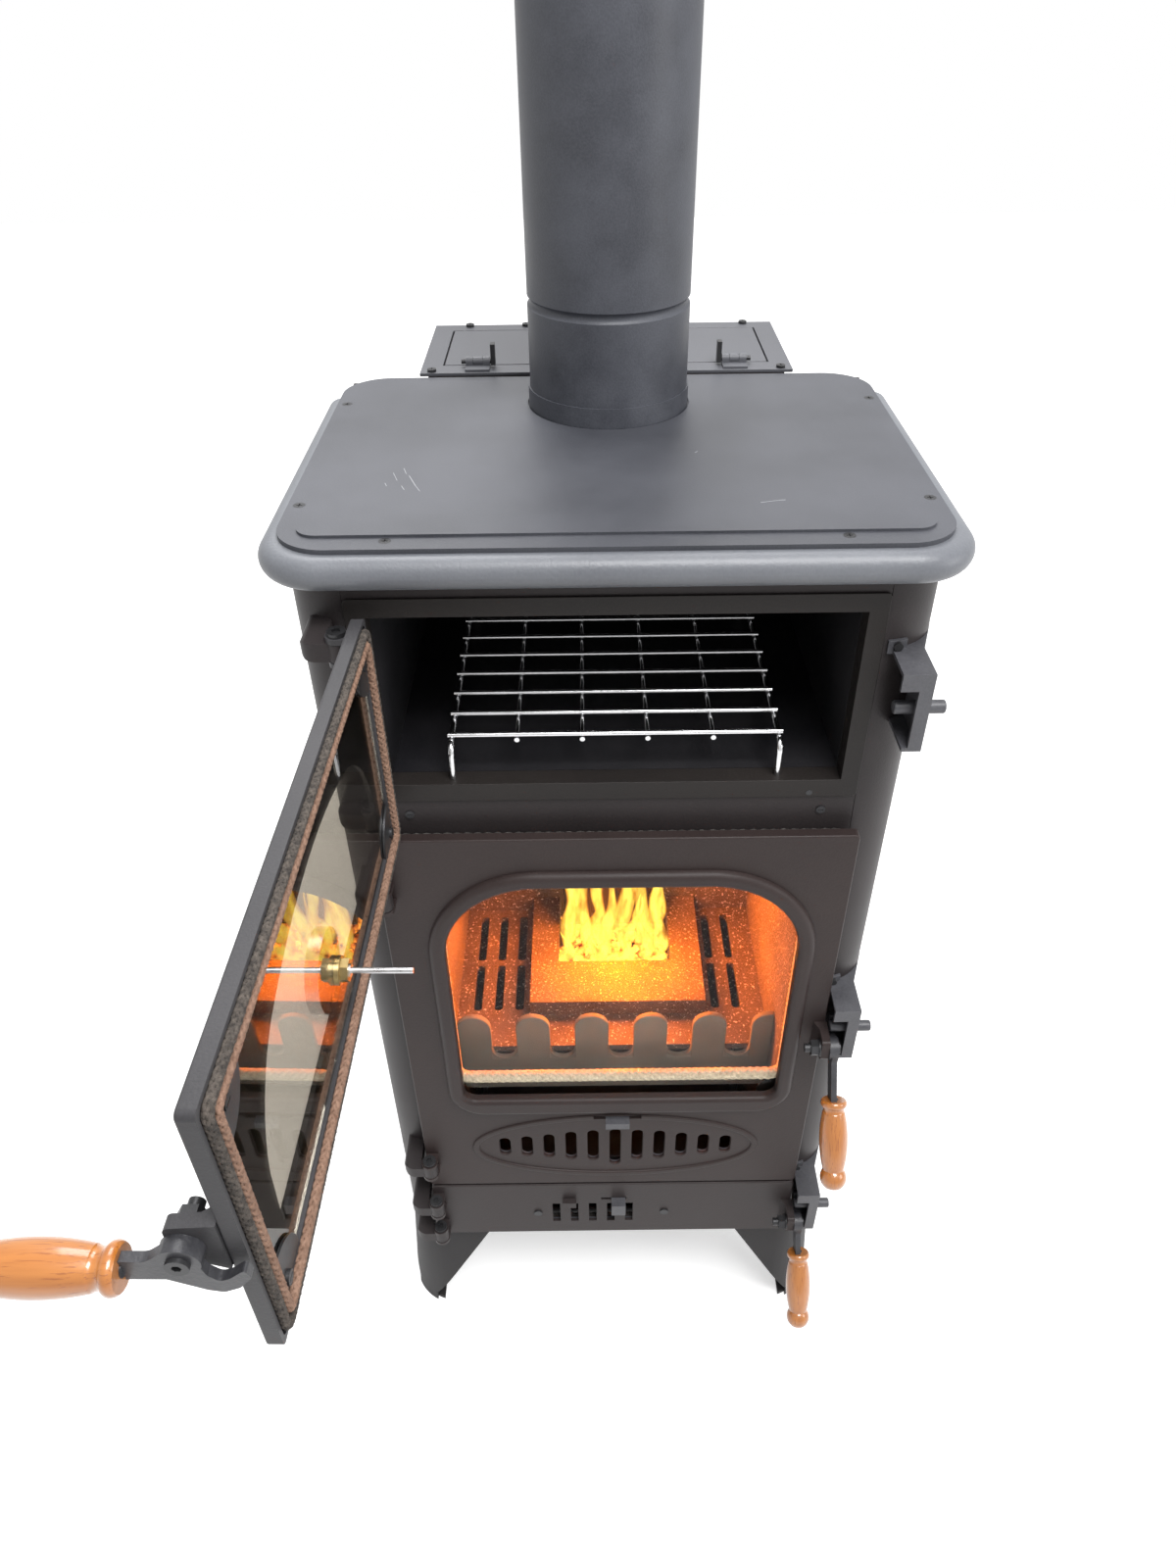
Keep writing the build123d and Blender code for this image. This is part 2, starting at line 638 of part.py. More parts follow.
def cross_slot(x, y, z, length):
    """The cross in a screw's head, whose top is at z."""
    bar = Pos(x, y, z) * Box(length, CROSS_SLOT_WIDTH, 2 * CROSS_SLOT_DEPTH)
    return bar + Pos(x, y, z) * Box(CROSS_SLOT_WIDTH, length, 2 * CROSS_SLOT_DEPTH)


def hob_screw(x, y):
    """A countersunk screw with a cross slot."""
    depth = HOB_SCREW_HEAD_DEPTH
    head = Pos(x, y, HOB_LOW - depth / 2) * Cone(HOB_SCREW_RADIUS, HOB_SCREW_HEAD, depth)
    screw = head + rod_z(HOB_SCREW_RADIUS, x, y, (HOB_LOW - HOB_SCREW_LENGTH, HOB_LOW - depth / 2))
    return screw - cross_slot(x, y, HOB_LOW, HOB_SCREW_HEAD)


def hob_plate():
    """The cooking plate: a low border, a raised panel and the flue hole."""
    front = FRONT - HOB_FRONT_OVERHANG
    rear = BACK + HOB_REAR_OVERHANG
    plate = slab_z(rectangle((-HALF_W, HALF_W), (front, rear), HOB_CORNER), (RIM_TOP, HOB_LOW))
    x = HALF_W - PANEL_SIDE_MARGIN
    y = (front + PANEL_FRONT_MARGIN, rear - PANEL_REAR_MARGIN)
    plate += slab_z(rectangle((-x, x), y, PANEL_CORNER), (HOB_LOW, HOB_TOP))
    spigot = PIPE_RADIUS - PIPE_WALL - COLLAR_WALL
    plate -= rod_z(spigot + SPIGOT_CLEARANCE, 0, FLUE_BACK, (RIM_TOP - 1, HOB_TOP + 1))
    # The collar stands on the border's level, in a round gap in the raised panel
    collar = PIPE_RADIUS + COLLAR_WALL
    plate -= rod_z(collar + COLLAR_CLEARANCE, 0, FLUE_BACK, (HOB_LOW, HOB_TOP + 1))
    gap = HOB_SCREW_CLEARANCE
    depth = HOB_SCREW_HEAD_DEPTH
    for sx, sy in hob_screw_places():
        plate -= rod_z(HOB_SCREW_RADIUS + gap, sx, sy, (RIM_TOP - 1, HOB_LOW + 1))
        cone = Cone(HOB_SCREW_RADIUS + gap, HOB_SCREW_HEAD + gap, depth)
        plate -= Pos(sx, sy, HOB_LOW - depth / 2) * cone
    return plate


# Flue


def ring(outer, inner, z):
    return rod_z(outer, 0, FLUE_BACK, z) - rod_z(inner, 0, FLUE_BACK, (z[0] - 1, z[1] + 1))


def flue_collar():
    """The socket on the hob that holds the pipe, with a spigot through the plate."""
    outer = PIPE_RADIUS + COLLAR_WALL
    bore = PIPE_RADIUS - PIPE_WALL - COLLAR_WALL
    inner = bore - COLLAR_WALL
    collar = ring(outer, PIPE_RADIUS + RUNNING_CLEARANCE, (HOB_TOP, HOB_TOP + COLLAR_HEIGHT))
    collar += ring(outer, inner, (HOB_LOW, HOB_TOP + COLLAR_LEDGE))
    collar += ring(bore, inner, (HOB_TOP - SPIGOT_DEPTH, HOB_TOP + COLLAR_LEDGE))
    return collar


def flue_pipe():
    """The pipe, with a pressed bead near its foot."""
    low = HOB_TOP + COLLAR_LEDGE
    high = low + PIPE_LENGTH
    inner = PIPE_RADIUS - PIPE_WALL
    mid = HOB_TOP + PIPE_BEAD_HEIGHT + PIPE_BEAD_WIDTH / 2
    half = PIPE_BEAD_WIDTH / 2
    deep = PIPE_BEAD_DEPTH
    outline = Wire(
        [
            Line((PIPE_RADIUS, low), (PIPE_RADIUS, mid - half)),
            ThreePointArc((PIPE_RADIUS, mid - half), (PIPE_RADIUS - deep, mid), (PIPE_RADIUS, mid + half)),
            Line((PIPE_RADIUS, mid + half), (PIPE_RADIUS, high)),
            Line((PIPE_RADIUS, high), (inner, high)),
            Line((inner, high), (inner, mid + half)),
            ThreePointArc((inner, mid + half), (inner - deep, mid), (inner, mid - half)),
            Line((inner, mid - half), (inner, low)),
            Line((inner, low), (PIPE_RADIUS, low)),
        ]
    )
    section = Plane.XZ * make_face(outline)
    return Pos(0, FLUE_BACK, 0) * revolve(section, axis=Axis.Z, revolution_arc=360)


# Oven


def oven_frame():
    """The raised frame round the oven's mouth, with a sleeve through the panel."""
    half = OVEN_HALF_WIDTH
    outer = half + OVEN_FRAME_SIDE
    face = (FRONT - OVEN_FRAME_RISE, FRONT)
    z = (OVEN_BOTTOM - OVEN_FRAME_BELOW, OVEN_TOP + OVEN_FRAME_ABOVE)
    frame = slab_y(rectangle((-outer, outer), z, OVEN_FRAME_CORNER), face)
    sleeve = half + SHEET
    depth = (FRONT - OVEN_FRAME_RISE, FRONT + OVEN_SLEEVE)
    frame += block((-sleeve, sleeve), (FRONT, depth[1]), (OVEN_BOTTOM - SHEET, OVEN_TOP + SHEET))
    frame -= block((-half, half), (depth[0] - 1, depth[1] + 1), (OVEN_BOTTOM, OVEN_TOP))
    return frame


def oven_liner():
    """The oven's box, open at the front."""
    start = FRONT + OVEN_SLEEVE
    end = FRONT + OVEN_DEPTH
    wall = OVEN_WALL
    half = OVEN_HALF_WIDTH
    z = (OVEN_BOTTOM - wall, OVEN_TOP + wall)
    box = block((-half - wall, half + wall), (start, end + wall), z)
    return box - block((-half, half), (start - 1, end), (OVEN_BOTTOM, OVEN_TOP))


def oven_rack():
    """A chromed wire stand: the cross wires lie on the side wires, and the long ones under them."""
    front = FRONT + RACK_SETBACK
    rear = front + RACK_DEPTH
    foot = OVEN_BOTTOM + RACK_FLOOR_GAP
    top = OVEN_BOTTOM + RACK_HEIGHT
    wires = []
    for side in (-1, 1):
        x = side * RACK_HALF_WIDTH
        points = [(x, front, foot), (x, front, top), (x, rear, top), (x, rear, foot)]
        path = FilletPolyline(*points, radius=RACK_BEND)
        wires.append(sweep(Plane(points[0], z_dir=(0, 0, 1)) * Circle(RACK_WIRE), path=path))
    reach = RACK_HALF_WIDTH + RACK_WIRE
    cross_z = top + RACK_WIRE + RACK_THIN_WIRE
    margin = RACK_BEND + RACK_THIN_WIRE
    pitch = (RACK_DEPTH - 2 * margin) / (RACK_CROSS_WIRES - 1)
    for i in range(RACK_CROSS_WIRES):
        y = front + margin + i * pitch
        wires.append(rod_x(RACK_THIN_WIRE, (-reach, reach), y, cross_z))
    pitch = RACK_HALF_WIDTH * 2 / (RACK_LONG_WIRES + 1)
    long_y = (front + RACK_BEND, rear - RACK_BEND)
    for i in range(RACK_LONG_WIRES):
        x = -RACK_HALF_WIDTH + pitch * (i + 1)
        wires.append(rod_y(RACK_THIN_WIRE, x, long_y, cross_z - 2 * RACK_THIN_WIRE))
    return wires


# Fire chamber


def firebox_liner():
    """Two cheeks and a back of cast plate, with a window for the chute."""
    outer = LINER_HALF_WIDTH + LINER_WALL
    inner = LINER_HALF_WIDTH
    z = (CASING_BOTTOM + SHEET, LINER_TOP)
    start = FRONT + SHEET
    liner = block((-outer, outer), (start, LINER_BACK + LINER_WALL), z)
    liner -= block((-inner, inner), (start - 1, LINER_BACK), (z[0] - 1, z[1] + 1))
    return liner - chute_window((LINER_BACK, LINER_BACK + LINER_WALL))


def fire_grate():
    """The slotted floor on both sides of the burner."""
    z = (GRATE_TOP - GRATE_THICKNESS, GRATE_TOP)
    front = GUARD_Y + GUARD_THICKNESS
    grate = block((-LINER_HALF_WIDTH, LINER_HALF_WIDTH), (front, LINER_BACK), z)
    through = (z[0] - 1, z[1] + 1)
    grate -= block(BURNER_X, (BURNER_FRONT, LINER_BACK + 1), through)
    for side, edge in ((-1, -BURNER_X[0]), (1, BURNER_X[1])):
        x = edge + GRATE_FIRST_SLOT
        while x + GRATE_SLOT_WIDTH < LINER_HALF_WIDTH:
            for y in GRATE_ROWS_Y:
                length = y[1] - y[0]
                hole = Pos(side * x, (y[0] + y[1]) / 2) * RectangleRounded(
                    GRATE_SLOT_WIDTH, length, GRATE_SLOT_WIDTH / 3
                )
                grate -= slab_z(hole, through)
            x += GRATE_SLOT_PITCH
    return grate


def guard_comb():
    """The low guard behind the fire door: round crests with gaps between them."""
    half = LINER_HALF_WIDTH
    y = (GUARD_Y, GUARD_Y + GUARD_THICKNESS)
    shape = block((-half, half), y, (GUARD_FOOT, GUARD_VALLEY))
    radius = GUARD_CREST_WIDTH / 2
    count = int(2 * half / GUARD_PITCH) + 1
    start = GUARD_X - (count - 1) / 2 * GUARD_PITCH
    for i in range(count):
        x = start + i * GUARD_PITCH
        crest = block((x - radius, x + radius), y, (GUARD_VALLEY - 1, GUARD_CREST - radius))
        crest += rod_y(radius, x, y, GUARD_CREST - radius)
        shape += crest & block((-half, half), y, (GUARD_FOOT, GUARD_CREST + 1))
    return shape


def burner():
    """The burner block, with a pot in its top where the pellets burn."""
    back = LINER_BACK
    block_z = (GRATE_TOP - GRATE_THICKNESS - BURNER_SKIRT, BURNER_TOP)
    shape = block(BURNER_X, (BURNER_FRONT, back), block_z)
    pot_y = (POT_FRONT, back + 1)
    shape -= block(POT_X, pot_y, (BURNER_TOP - POT_DEPTH, BURNER_TOP + 1))
    low = (block_z[0] - 1, BURNER_TOP - POT_DEPTH - BURNER_WALL)
    under_x = (BURNER_X[0] + BURNER_WALL, BURNER_X[1] - BURNER_WALL)
    shape -= block(under_x, (BURNER_FRONT + BURNER_WALL, back - BURNER_WALL), low)
    floor = (BURNER_TOP - POT_DEPTH - BURNER_WALL - 1, BURNER_TOP - POT_DEPTH + 1)
    pitch = (POT_X[1] - POT_X[0]) / (POT_SLOTS + 1)
    half = POT_SLOT_WIDTH / 2
    for i in range(POT_SLOTS):
        x = POT_X[0] + (i + 1) * pitch
        shape -= block((x - half, x + half), POT_SLOT_Y, floor)
    return shape


def smoke_baffle():
    """The roof of the fire chamber, with a gap at the back for the smoke."""
    side = LINER_HALF_WIDTH + LINER_WALL
    z = (LINER_TOP, LINER_TOP + BAFFLE_THICKNESS)
    return block((-side, side), (FRONT + SHEET, LINER_BACK - BAFFLE_GAP), z)


def ash_runners():
    """Two rails that carry the ash pan."""
    y = (RUNNER_FRONT, RUNNER_BACK)
    z = (CASING_BOTTOM + SHEET, RUNNER_TOP)
    rails = []
    for side in (-1, 1):
        x = sorted(side * (PAN_HALF_WIDTH - inset) for inset in RUNNER_INSET)
        rails.append(block(x, y, z))
    return rails


def ash_pan():
    """A folded pan, open at the top."""
    half = PAN_HALF_WIDTH
    y = (PAN_FRONT, PAN_FRONT + PAN_DEPTH)
    z = (RUNNER_TOP, RUNNER_TOP + PAN_HEIGHT)
    pan = block((-half, half), y, z)
    pan -= block(
        (-half + PAN_SHEET, half - PAN_SHEET),
        (y[0] + PAN_SHEET, y[1] - PAN_SHEET),
        (z[0] + PAN_SHEET, z[1] + 1),
    )
    return pan


# Hopper


def hopper_profile(inset=0.0):
    points = [
        (HOPPER_FRONT + inset, HOPPER_FLOOR_FRONT + inset),
        (HOPPER_BACK - inset, HOPPER_FLOOR_BACK + inset),
        (HOPPER_BACK - inset, HOPPER_TOP - SHEET - inset),
        (HOPPER_FRONT + inset, HOPPER_TOP - SHEET - inset),
    ]
    return make_face(Polyline(*points, close=True))


def hopper_mouth():
    """The filling opening, inside the lid's edge."""
    x = LID_HALF_WIDTH - HOPPER_MOUTH_MARGIN
    y = (HOPPER_FRONT + LID_FRONT + HOPPER_MOUTH_MARGIN, HOPPER_FRONT + LID_BACK - HOPPER_MOUTH_MARGIN)
    return (-x, x), y


def hopper_box():
    """The pellet bin, with a sloping floor and an outlet to the chute."""
    half = HOPPER_HALF_WIDTH
    wall = HOPPER_SHEET
    box = slab_x(hopper_profile(), (-half, half))
    box -= slab_x(hopper_profile(wall), (-half + wall, half - wall))
    mouth_x, mouth_y = hopper_mouth()
    box -= block(mouth_x, mouth_y, (HOPPER_TOP - 2 * SHEET - wall, HOPPER_TOP))
    side = (-CHUTE_HALF_WIDTH, CHUTE_HALF_WIDTH)
    outlet = (HOPPER_FLOOR_FRONT + 2 * wall, HOPPER_FLOOR_FRONT + wall + CHUTE_HEIGHT)
    box -= block(side, (HOPPER_FRONT - 1, HOPPER_FRONT + wall + 1), outlet)
    return box


def hopper_stays():
    """Two channels between the casing's back and the bin."""
    stays = []
    for side in (-1, 1):
        x = sorted(side * edge for edge in STAY_X)
        stays.append(block(x, (BACK, HOPPER_FRONT), STAY_Z))
    return stays


def hopper_top():
    """The top frame of the bin, with a hole for the lid."""
    half = HOPPER_HALF_WIDTH + HOPPER_FRAME_OVERHANG
    depth = (HOPPER_FRONT, HOPPER_BACK + HOPPER_FRAME_REAR)
    plate = block((-half, half), depth, (HOPPER_TOP - SHEET, HOPPER_TOP))
    x = LID_HALF_WIDTH + LID_GAP
    y = (HOPPER_FRONT + LID_FRONT - LID_GAP, HOPPER_FRONT + LID_BACK + LID_GAP)
    return plate - block((-x, x), y, (HOPPER_TOP - SHEET - 1, HOPPER_TOP + 1))


def hopper_screws():
    """Pan-head screws through the top frame."""
    top = HOPPER_TOP + PAN_HEAD_HEIGHT
    screws = []
    for x, y in HOPPER_SCREWS:
        head = rod_z(PAN_HEAD_RADIUS, x, y, (HOPPER_TOP, top))
        screws.append(head - cross_slot(x, y, top, PAN_HEAD_SLOT))
    return screws


def hopper_gasket():
    """The lid's flat seal on the bin's flange."""
    z = (HOPPER_TOP - SHEET, HOPPER_TOP - SHEET + LID_GASKET)
    x = LID_HALF_WIDTH - 1
    y = (HOPPER_FRONT + LID_FRONT + 1, HOPPER_FRONT + LID_BACK - 1)
    mouth_x, mouth_y = hopper_mouth()
    return block((-x, x), y, z) - block(mouth_x, mouth_y, (z[0] - 1, z[1] + 1))


def hopper_lid():
    """The lid, flush in the top frame."""
    y = (HOPPER_FRONT + LID_FRONT, HOPPER_FRONT + LID_BACK)
    return block((-LID_HALF_WIDTH, LID_HALF_WIDTH), y, (LID_LOW, LID_LOW + LID_SHEET))


def lid_hinge_span(side, low, high):
    """A stretch of one hinge, measured from its inner end."""
    start = LID_HINGE_X - LID_HINGE_WIDTH / 2
    return sorted((side * (start + low), side * (start + high)))


def lid_bore(x):
    """The hole for the pin along a hinge."""
    return rod_x(LID_PIN_RADIUS + RUNNING_CLEARANCE, (x[0] - 1, x[1] + 1), LID_HINGE_Y, LID_HINGE_Z)


def lid_fixed_leaves():
    """The hinge leaves on the bin's frame, each with two knuckles."""
    radius = LID_KNUCKLE_RADIUS
    width = LID_HINGE_WIDTH
    leaves = []
    for side in (-1, 1):
        x = lid_hinge_span(side, 0, width)
        y = (HOPPER_FRONT + LID_LEAF_SHEET, LID_HINGE_Y)
        leaf = block(x, y, (HOPPER_TOP, HOPPER_TOP + LID_LEAF_SHEET))
        leaf += block(x, (LID_HINGE_Y - radius, LID_HINGE_Y), (HOPPER_TOP, LID_HINGE_Z))
        for low, high in ((0, LID_KNUCKLE), (width - LID_KNUCKLE, width)):
            leaf += rod_x(radius, lid_hinge_span(side, low, high), LID_HINGE_Y, LID_HINGE_Z)
        gap = lid_hinge_span(side, LID_KNUCKLE, width - LID_KNUCKLE)
        leaf -= rod_x(radius + LID_KNUCKLE_GAP, gap, LID_HINGE_Y, LID_HINGE_Z)
        leaves.append(leaf - lid_bore(x))
    return leaves


def lid_moving_leaves():
    """The hinge leaves on the lid, each with one knuckle."""
    low = LID_LOW + LID_SHEET
    start = LID_KNUCKLE + LID_KNUCKLE_GAP
    edge = HOPPER_FRONT + LID_FRONT
    leaves = []
    for side in (-1, 1):
        x = lid_hinge_span(side, start, LID_HINGE_WIDTH - start)
        leaf = block(x, (edge, edge + LID_LEAF_REACH), (low, low + LID_LEAF_SHEET))
        # A step lifts the leaf over the frame to the knuckle's foot
        step = (LID_HINGE_Y, edge + 2 * LID_LEAF_SHEET)
        leaf += block(x, step, (HOPPER_TOP + LID_KNUCKLE_GAP * 2, LID_HINGE_Z - LID_PIN_RADIUS))
        leaf += rod_x(LID_KNUCKLE_RADIUS, x, LID_HINGE_Y, LID_HINGE_Z)
        leaves.append(leaf - lid_bore(x))
    return leaves


def lid_hinge_pins():
    """Loose pins, each with an upright grip at its inner end."""
    start, end = LID_PIN_GRIP_X
    pins = []
    for side in (-1, 1):
        reach = lid_hinge_span(side, start, LID_HINGE_WIDTH + LID_PIN_TAIL)
        pin = rod_x(LID_PIN_RADIUS, reach, LID_HINGE_Y, LID_HINGE_Z)
        y = [LID_HINGE_Y + edge for edge in LID_PIN_GRIP_Y]
        z = (LID_HINGE_Z - LID_PIN_RADIUS, LID_HINGE_Z + LID_PIN_GRIP)
        pins.append(pin + block(lid_hinge_span(side, start, end), y, z))
    return pins


def pellet_chute():
    """A sloping tube from the bin to the burner."""
    wall = HOPPER_SHEET
    tall = CHUTE_HEIGHT + 2 * wall

    def profile(low, high, y):
        points = [
            (y[0], chute_z(y[0]) + low),
            (y[1], chute_z(y[1]) + low),
            (y[1], chute_z(y[1]) + high),
            (y[0], chute_z(y[0]) + high),
        ]
        return make_face(Polyline(*points, close=True))

    outer = CHUTE_HALF_WIDTH + wall
    tube = slab_x(profile(0, tall, (CHUTE_FRONT_Y, HOPPER_FRONT)), (-outer, outer))
    reach = (CHUTE_FRONT_Y - 1, HOPPER_FRONT + 1)
    bore = slab_x(profile(wall, tall - wall, reach), (-CHUTE_HALF_WIDTH, CHUTE_HALF_WIDTH))
    return tube - bore


# Door hinges on the casing


def hinge_eye_z(z):
    """The low and high eyes round a barrel centred at z."""
    half = BARREL_HEIGHT / 2 + EYE_GAP
    return ((z - half - EYE_HEIGHT, z - half), (z + half, z + half + EYE_HEIGHT))


def hinge_lug(z):
    """A barrel on an arm that is welded to the column."""
    span = (z - BARREL_HEIGHT / 2, z + BARREL_HEIGHT / 2)
    arm_x = (HINGE_X - LUG_ARM, HINGE_X - EYE_RADIUS - LUG_DOOR_GAP)
    plan = rectangle(arm_x, (HINGE_Y - LUG_HALF, COLUMN_Y))
    plan = fillet(plan.vertices().sort_by(Axis.Y)[:2].sort_by(Axis.X)[0], LUG_ROUNDING)
    arm = slab_z(plan, span)
    ear_x = (arm_x[0], arm_x[1] + LUG_CORNER)
    arm &= slab_y(rectangle(ear_x, span, LUG_CORNER), (HINGE_Y - LUG_HALF, COLUMN_Y))
    arm -= casing_body((z - BARREL_HEIGHT, z + BARREL_HEIGHT))
    lug = arm + block((HINGE_X - LUG_NECK, HINGE_X), (HINGE_Y - LUG_HALF, HINGE_Y + LUG_HALF), span)
    lug += rod_z(BARREL_RADIUS, HINGE_X, HINGE_Y, span)
    bore = (span[0] - 1, span[1] + 1)
    return lug - rod_z(HINGE_BOLT_RADIUS + RUNNING_CLEARANCE, HINGE_X, HINGE_Y, bore)


def hinge_bolt(z):
    """A socket-head bolt through the barrel and both eyes."""
    low, high = hinge_eye_z(z)
    top = high[1] + HEAD_GAP
    bolt = rod_z(HINGE_BOLT_RADIUS, HINGE_X, HINGE_Y, (low[0] - HINGE_BOLT_TAIL, top))
    end = top + HINGE_BOLT_HEAD
    bolt += rod_z(HINGE_BOLT_HEAD_RADIUS, HINGE_X, HINGE_Y, (top, end))
    hexagon = Pos(HINGE_X, HINGE_Y) * RegularPolygon(HINGE_SOCKET, 6)
    return bolt - slab_z(hexagon, (end - HINGE_SOCKET_DEPTH, end + 1))


# Keepers on the casing


def keeper(pin_z):
    """A bent sheet keeper with a cut front flange, and a tab with a bolt on the column."""
    y0 = PIVOT_Y
    top = pin_z + KEEPER_ABOVE_PIN
    low = pin_z - KEEPER_BELOW_PIN
    plan = [
        (KEEPER_X[0], y0),
        (KEEPER_X[1], y0),
        (KEEPER_X[1], FRONT),
        (HALF_W, COLUMN_Y - KEEPER_FLOOR_SETBACK),
        (HALF_W, COLUMN_Y),
        (KEEPER_X[0], COLUMN_Y),
    ]
    shape = slab_z(make_face(Polyline(*plan, close=True)), (top - SHEET, top))
    flange = slab_y(rectangle(KEEPER_X, (low, top)), (y0, y0 + SHEET))
    cut = block(
        (KEEPER_X[0] - 1, KEEPER_CUT_X),
        (y0 - 1, y0 + SHEET + 1),
        (low - 1, pin_z + KEEPER_CUT_ABOVE_PIN),
    )
    shape += flange - cut
    wall_x = (KEEPER_X[1] - SHEET, KEEPER_X[1])
    shape += block(wall_x, (y0, COLUMN_Y), (low, top))
    floor_x = (wall_x[0] - KEEPER_FLOOR_WIDTH, wall_x[1])
    shape += block(floor_x, (y0, COLUMN_Y), (low, low + SHEET))
    tab = casing_body((top - SHEET, top + KEEPER_TAB_HEIGHT), -SHEET)
    shape += tab & block(KEEPER_TAB_X, (FRONT - 2 * SHEET, COLUMN_Y), (top - SHEET, HOB_TOP))
    shape -= rod_x(KEEPER_PIN_RADIUS, KEEPER_PIN_X, KEEPER_Y, pin_z)
    return shape - casing_body((low - 1, top + KEEPER_TAB_HEIGHT + 1))


def keeper_pin(pin_z):
    """The round bar that the hook catches, held in the keeper's side wall."""
    bar = rod_x(KEEPER_PIN_RADIUS, KEEPER_PIN_X, KEEPER_Y, pin_z)
    ends = bar.edges().filter_by(GeomType.CIRCLE)
    return fillet(ends, KEEPER_PIN_ROUNDING)


def keeper_bolt(pin_z):
    """The bolt in the keeper's upright tab."""
    x = sum(KEEPER_TAB_X) / 2
    z = pin_z + KEEPER_ABOVE_PIN + KEEPER_TAB_HEIGHT / 2
    head = rod_y(KEEPER_BOLT_RADIUS, x, (FRONT - SHEET - KEEPER_BOLT_HEAD, FRONT), z)
    # Its seat follows the round tab
    return head - casing_body((z - KEEPER_TAB_HEIGHT, z + KEEPER_TAB_HEIGHT), -SHEET)


# Doors


def door_shell(z):
    """A cast door: a skin, an outer wall, a rope channel and an inner wall."""
    half = DOOR_HALF_WIDTH
    body = slab_y(rectangle((-half, half), z, DOOR_CORNER), (DOOR_OUT, DOOR_IN))
    edges = body.edges().filter_by(
        lambda e: abs(e.bounding_box().min.Y - DOOR_OUT) < 0.01
        and abs(e.bounding_box().max.Y - DOOR_OUT) < 0.01
    )
    body = fillet(edges, DOOR_EDGE_ROUNDING)
    depth = (CHANNEL_FLOOR, DOOR_IN + 1)
    body -= slab_y(door_ring(z, CHANNEL_WALL, CHANNEL_WIDTH), depth)
    return body - slab_y(door_inside(z, DOOR_INSET), depth)


def door_inside(z, inset, radius=3.0):
    half = DOOR_HALF_WIDTH - inset
    return rectangle((-half, half), (z[0] + inset, z[1] - inset), radius)


def door_ring(z, inset, width):
    outer = door_inside(z, inset, 5.0)
    return outer - door_inside(z, inset + width, 2.0)


def door_rope(z, reach):
    """The seal: a rope squeezed into the channel, out to the face that it meets."""
    depth = (CHANNEL_FLOOR, reach - SEAL_GAP)
    rope = slab_y(door_ring(z, CHANNEL_WALL + ROPE_SQUEEZE, CHANNEL_WIDTH - 2 * ROPE_SQUEEZE), depth)
    edges = rope.edges().filter_by(
        lambda e: abs(e.bounding_box().min.Y - depth[1]) < 0.01
        and abs(e.bounding_box().max.Y - depth[1]) < 0.01
    )
    return fillet(edges, SEAL_ROUNDING)


def hinge_eyes(places):
    """The eyes on the door's face for its hinge bolts."""
    eyes = Part()
    for z in places:
        for span in hinge_eye_z(z):
            eye = rod_z(EYE_RADIUS, HINGE_X, HINGE_Y, span)
            eye += block((HINGE_X - EYE_WEB, HINGE_X + EYE_RADIUS), (HINGE_Y, DOOR_OUT + 1), span)
            bore = (span[0] - 1, span[1] + 1)
            eye -= rod_z(HINGE_BOLT_RADIUS + RUNNING_CLEARANCE, HINGE_X, HINGE_Y, bore)
            eyes += eye
    return eyes


def lever_bracket(pivot_z):
    """The cast fin on the door that carries the lever's bolt."""
    out = FRONT - BRACKET_OUT
    points = [
        (DOOR_OUT, pivot_z - BRACKET_BELOW_PIVOT),
        (DOOR_OUT, pivot_z + BRACKET_ABOVE_PIVOT),
        (out, pivot_z + BRACKET_ABOVE_PIVOT - 2),
        (out, pivot_z - 9),
    ]
    root = BRACKET_X[0] - BRACKET_ROOT
    bore = (root - 1, BRACKET_X[1] + 1)
    plan = [
        (root, DOOR_OUT),
        (BRACKET_X[0], DOOR_OUT - BRACKET_ROOT_LENGTH),
        (BRACKET_X[0], out - 1),
        (BRACKET_X[1], out - 1),
        (BRACKET_X[1], DOOR_OUT),
    ]
    span = (pivot_z - BRACKET_BELOW_PIVOT - 1, pivot_z + BRACKET_ABOVE_PIVOT + 1)
    fin = slab_x(rounded(points, [0, 0, 4, 6]), bore)
    fin &= slab_z(make_face(Polyline(*plan, close=True)), span)
    return fin - rod_x(LEVER_BOLT_RADIUS + RUNNING_CLEARANCE, bore, PIVOT_Y, pivot_z)


def lever_fasteners(pivot_z):
    """The lever's button-head bolt, and its washer and nut behind the fin."""
    start = BRACKET_X[0] - 2 * LEVER_NUT_LENGTH
    seat = BRACKET_X[0] - LEVER_WASHER_SHEET
    end = LEVER_X + LEVER_THICKNESS + HEAD_GAP
    bolt = rod_x(LEVER_BOLT_RADIUS, (start, end), PIVOT_Y, pivot_z)
    bolt += rod_x(LEVER_BUTTON_RADIUS, (end, end + LEVER_BUTTON), PIVOT_Y, pivot_z)
    socket = Pos(PIVOT_Y, pivot_z) * RegularPolygon(LEVER_SOCKET, 6)
    bolt -= slab_x(socket, (end + LEVER_BUTTON - LEVER_SOCKET_DEPTH, end + LEVER_BUTTON + 1))
    bore = LEVER_BOLT_RADIUS + RUNNING_CLEARANCE
    washer = rod_x(LEVER_WASHER, (seat, BRACKET_X[0]), PIVOT_Y, pivot_z)
    washer -= rod_x(bore, (seat - 1, BRACKET_X[0] + 1), PIVOT_Y, pivot_z)
    nut_x = (seat - LEVER_NUT_LENGTH, seat)
    nut = slab_x(Pos(PIVOT_Y, pivot_z) * RegularPolygon(LEVER_NUT, 6), nut_x)
    nut -= rod_x(bore, (nut_x[0] - 1, nut_x[1] + 1), PIVOT_Y, pivot_z)
    return [bolt, washer, nut]


# Levers and handles, drawn with the handle level and pointing outwards


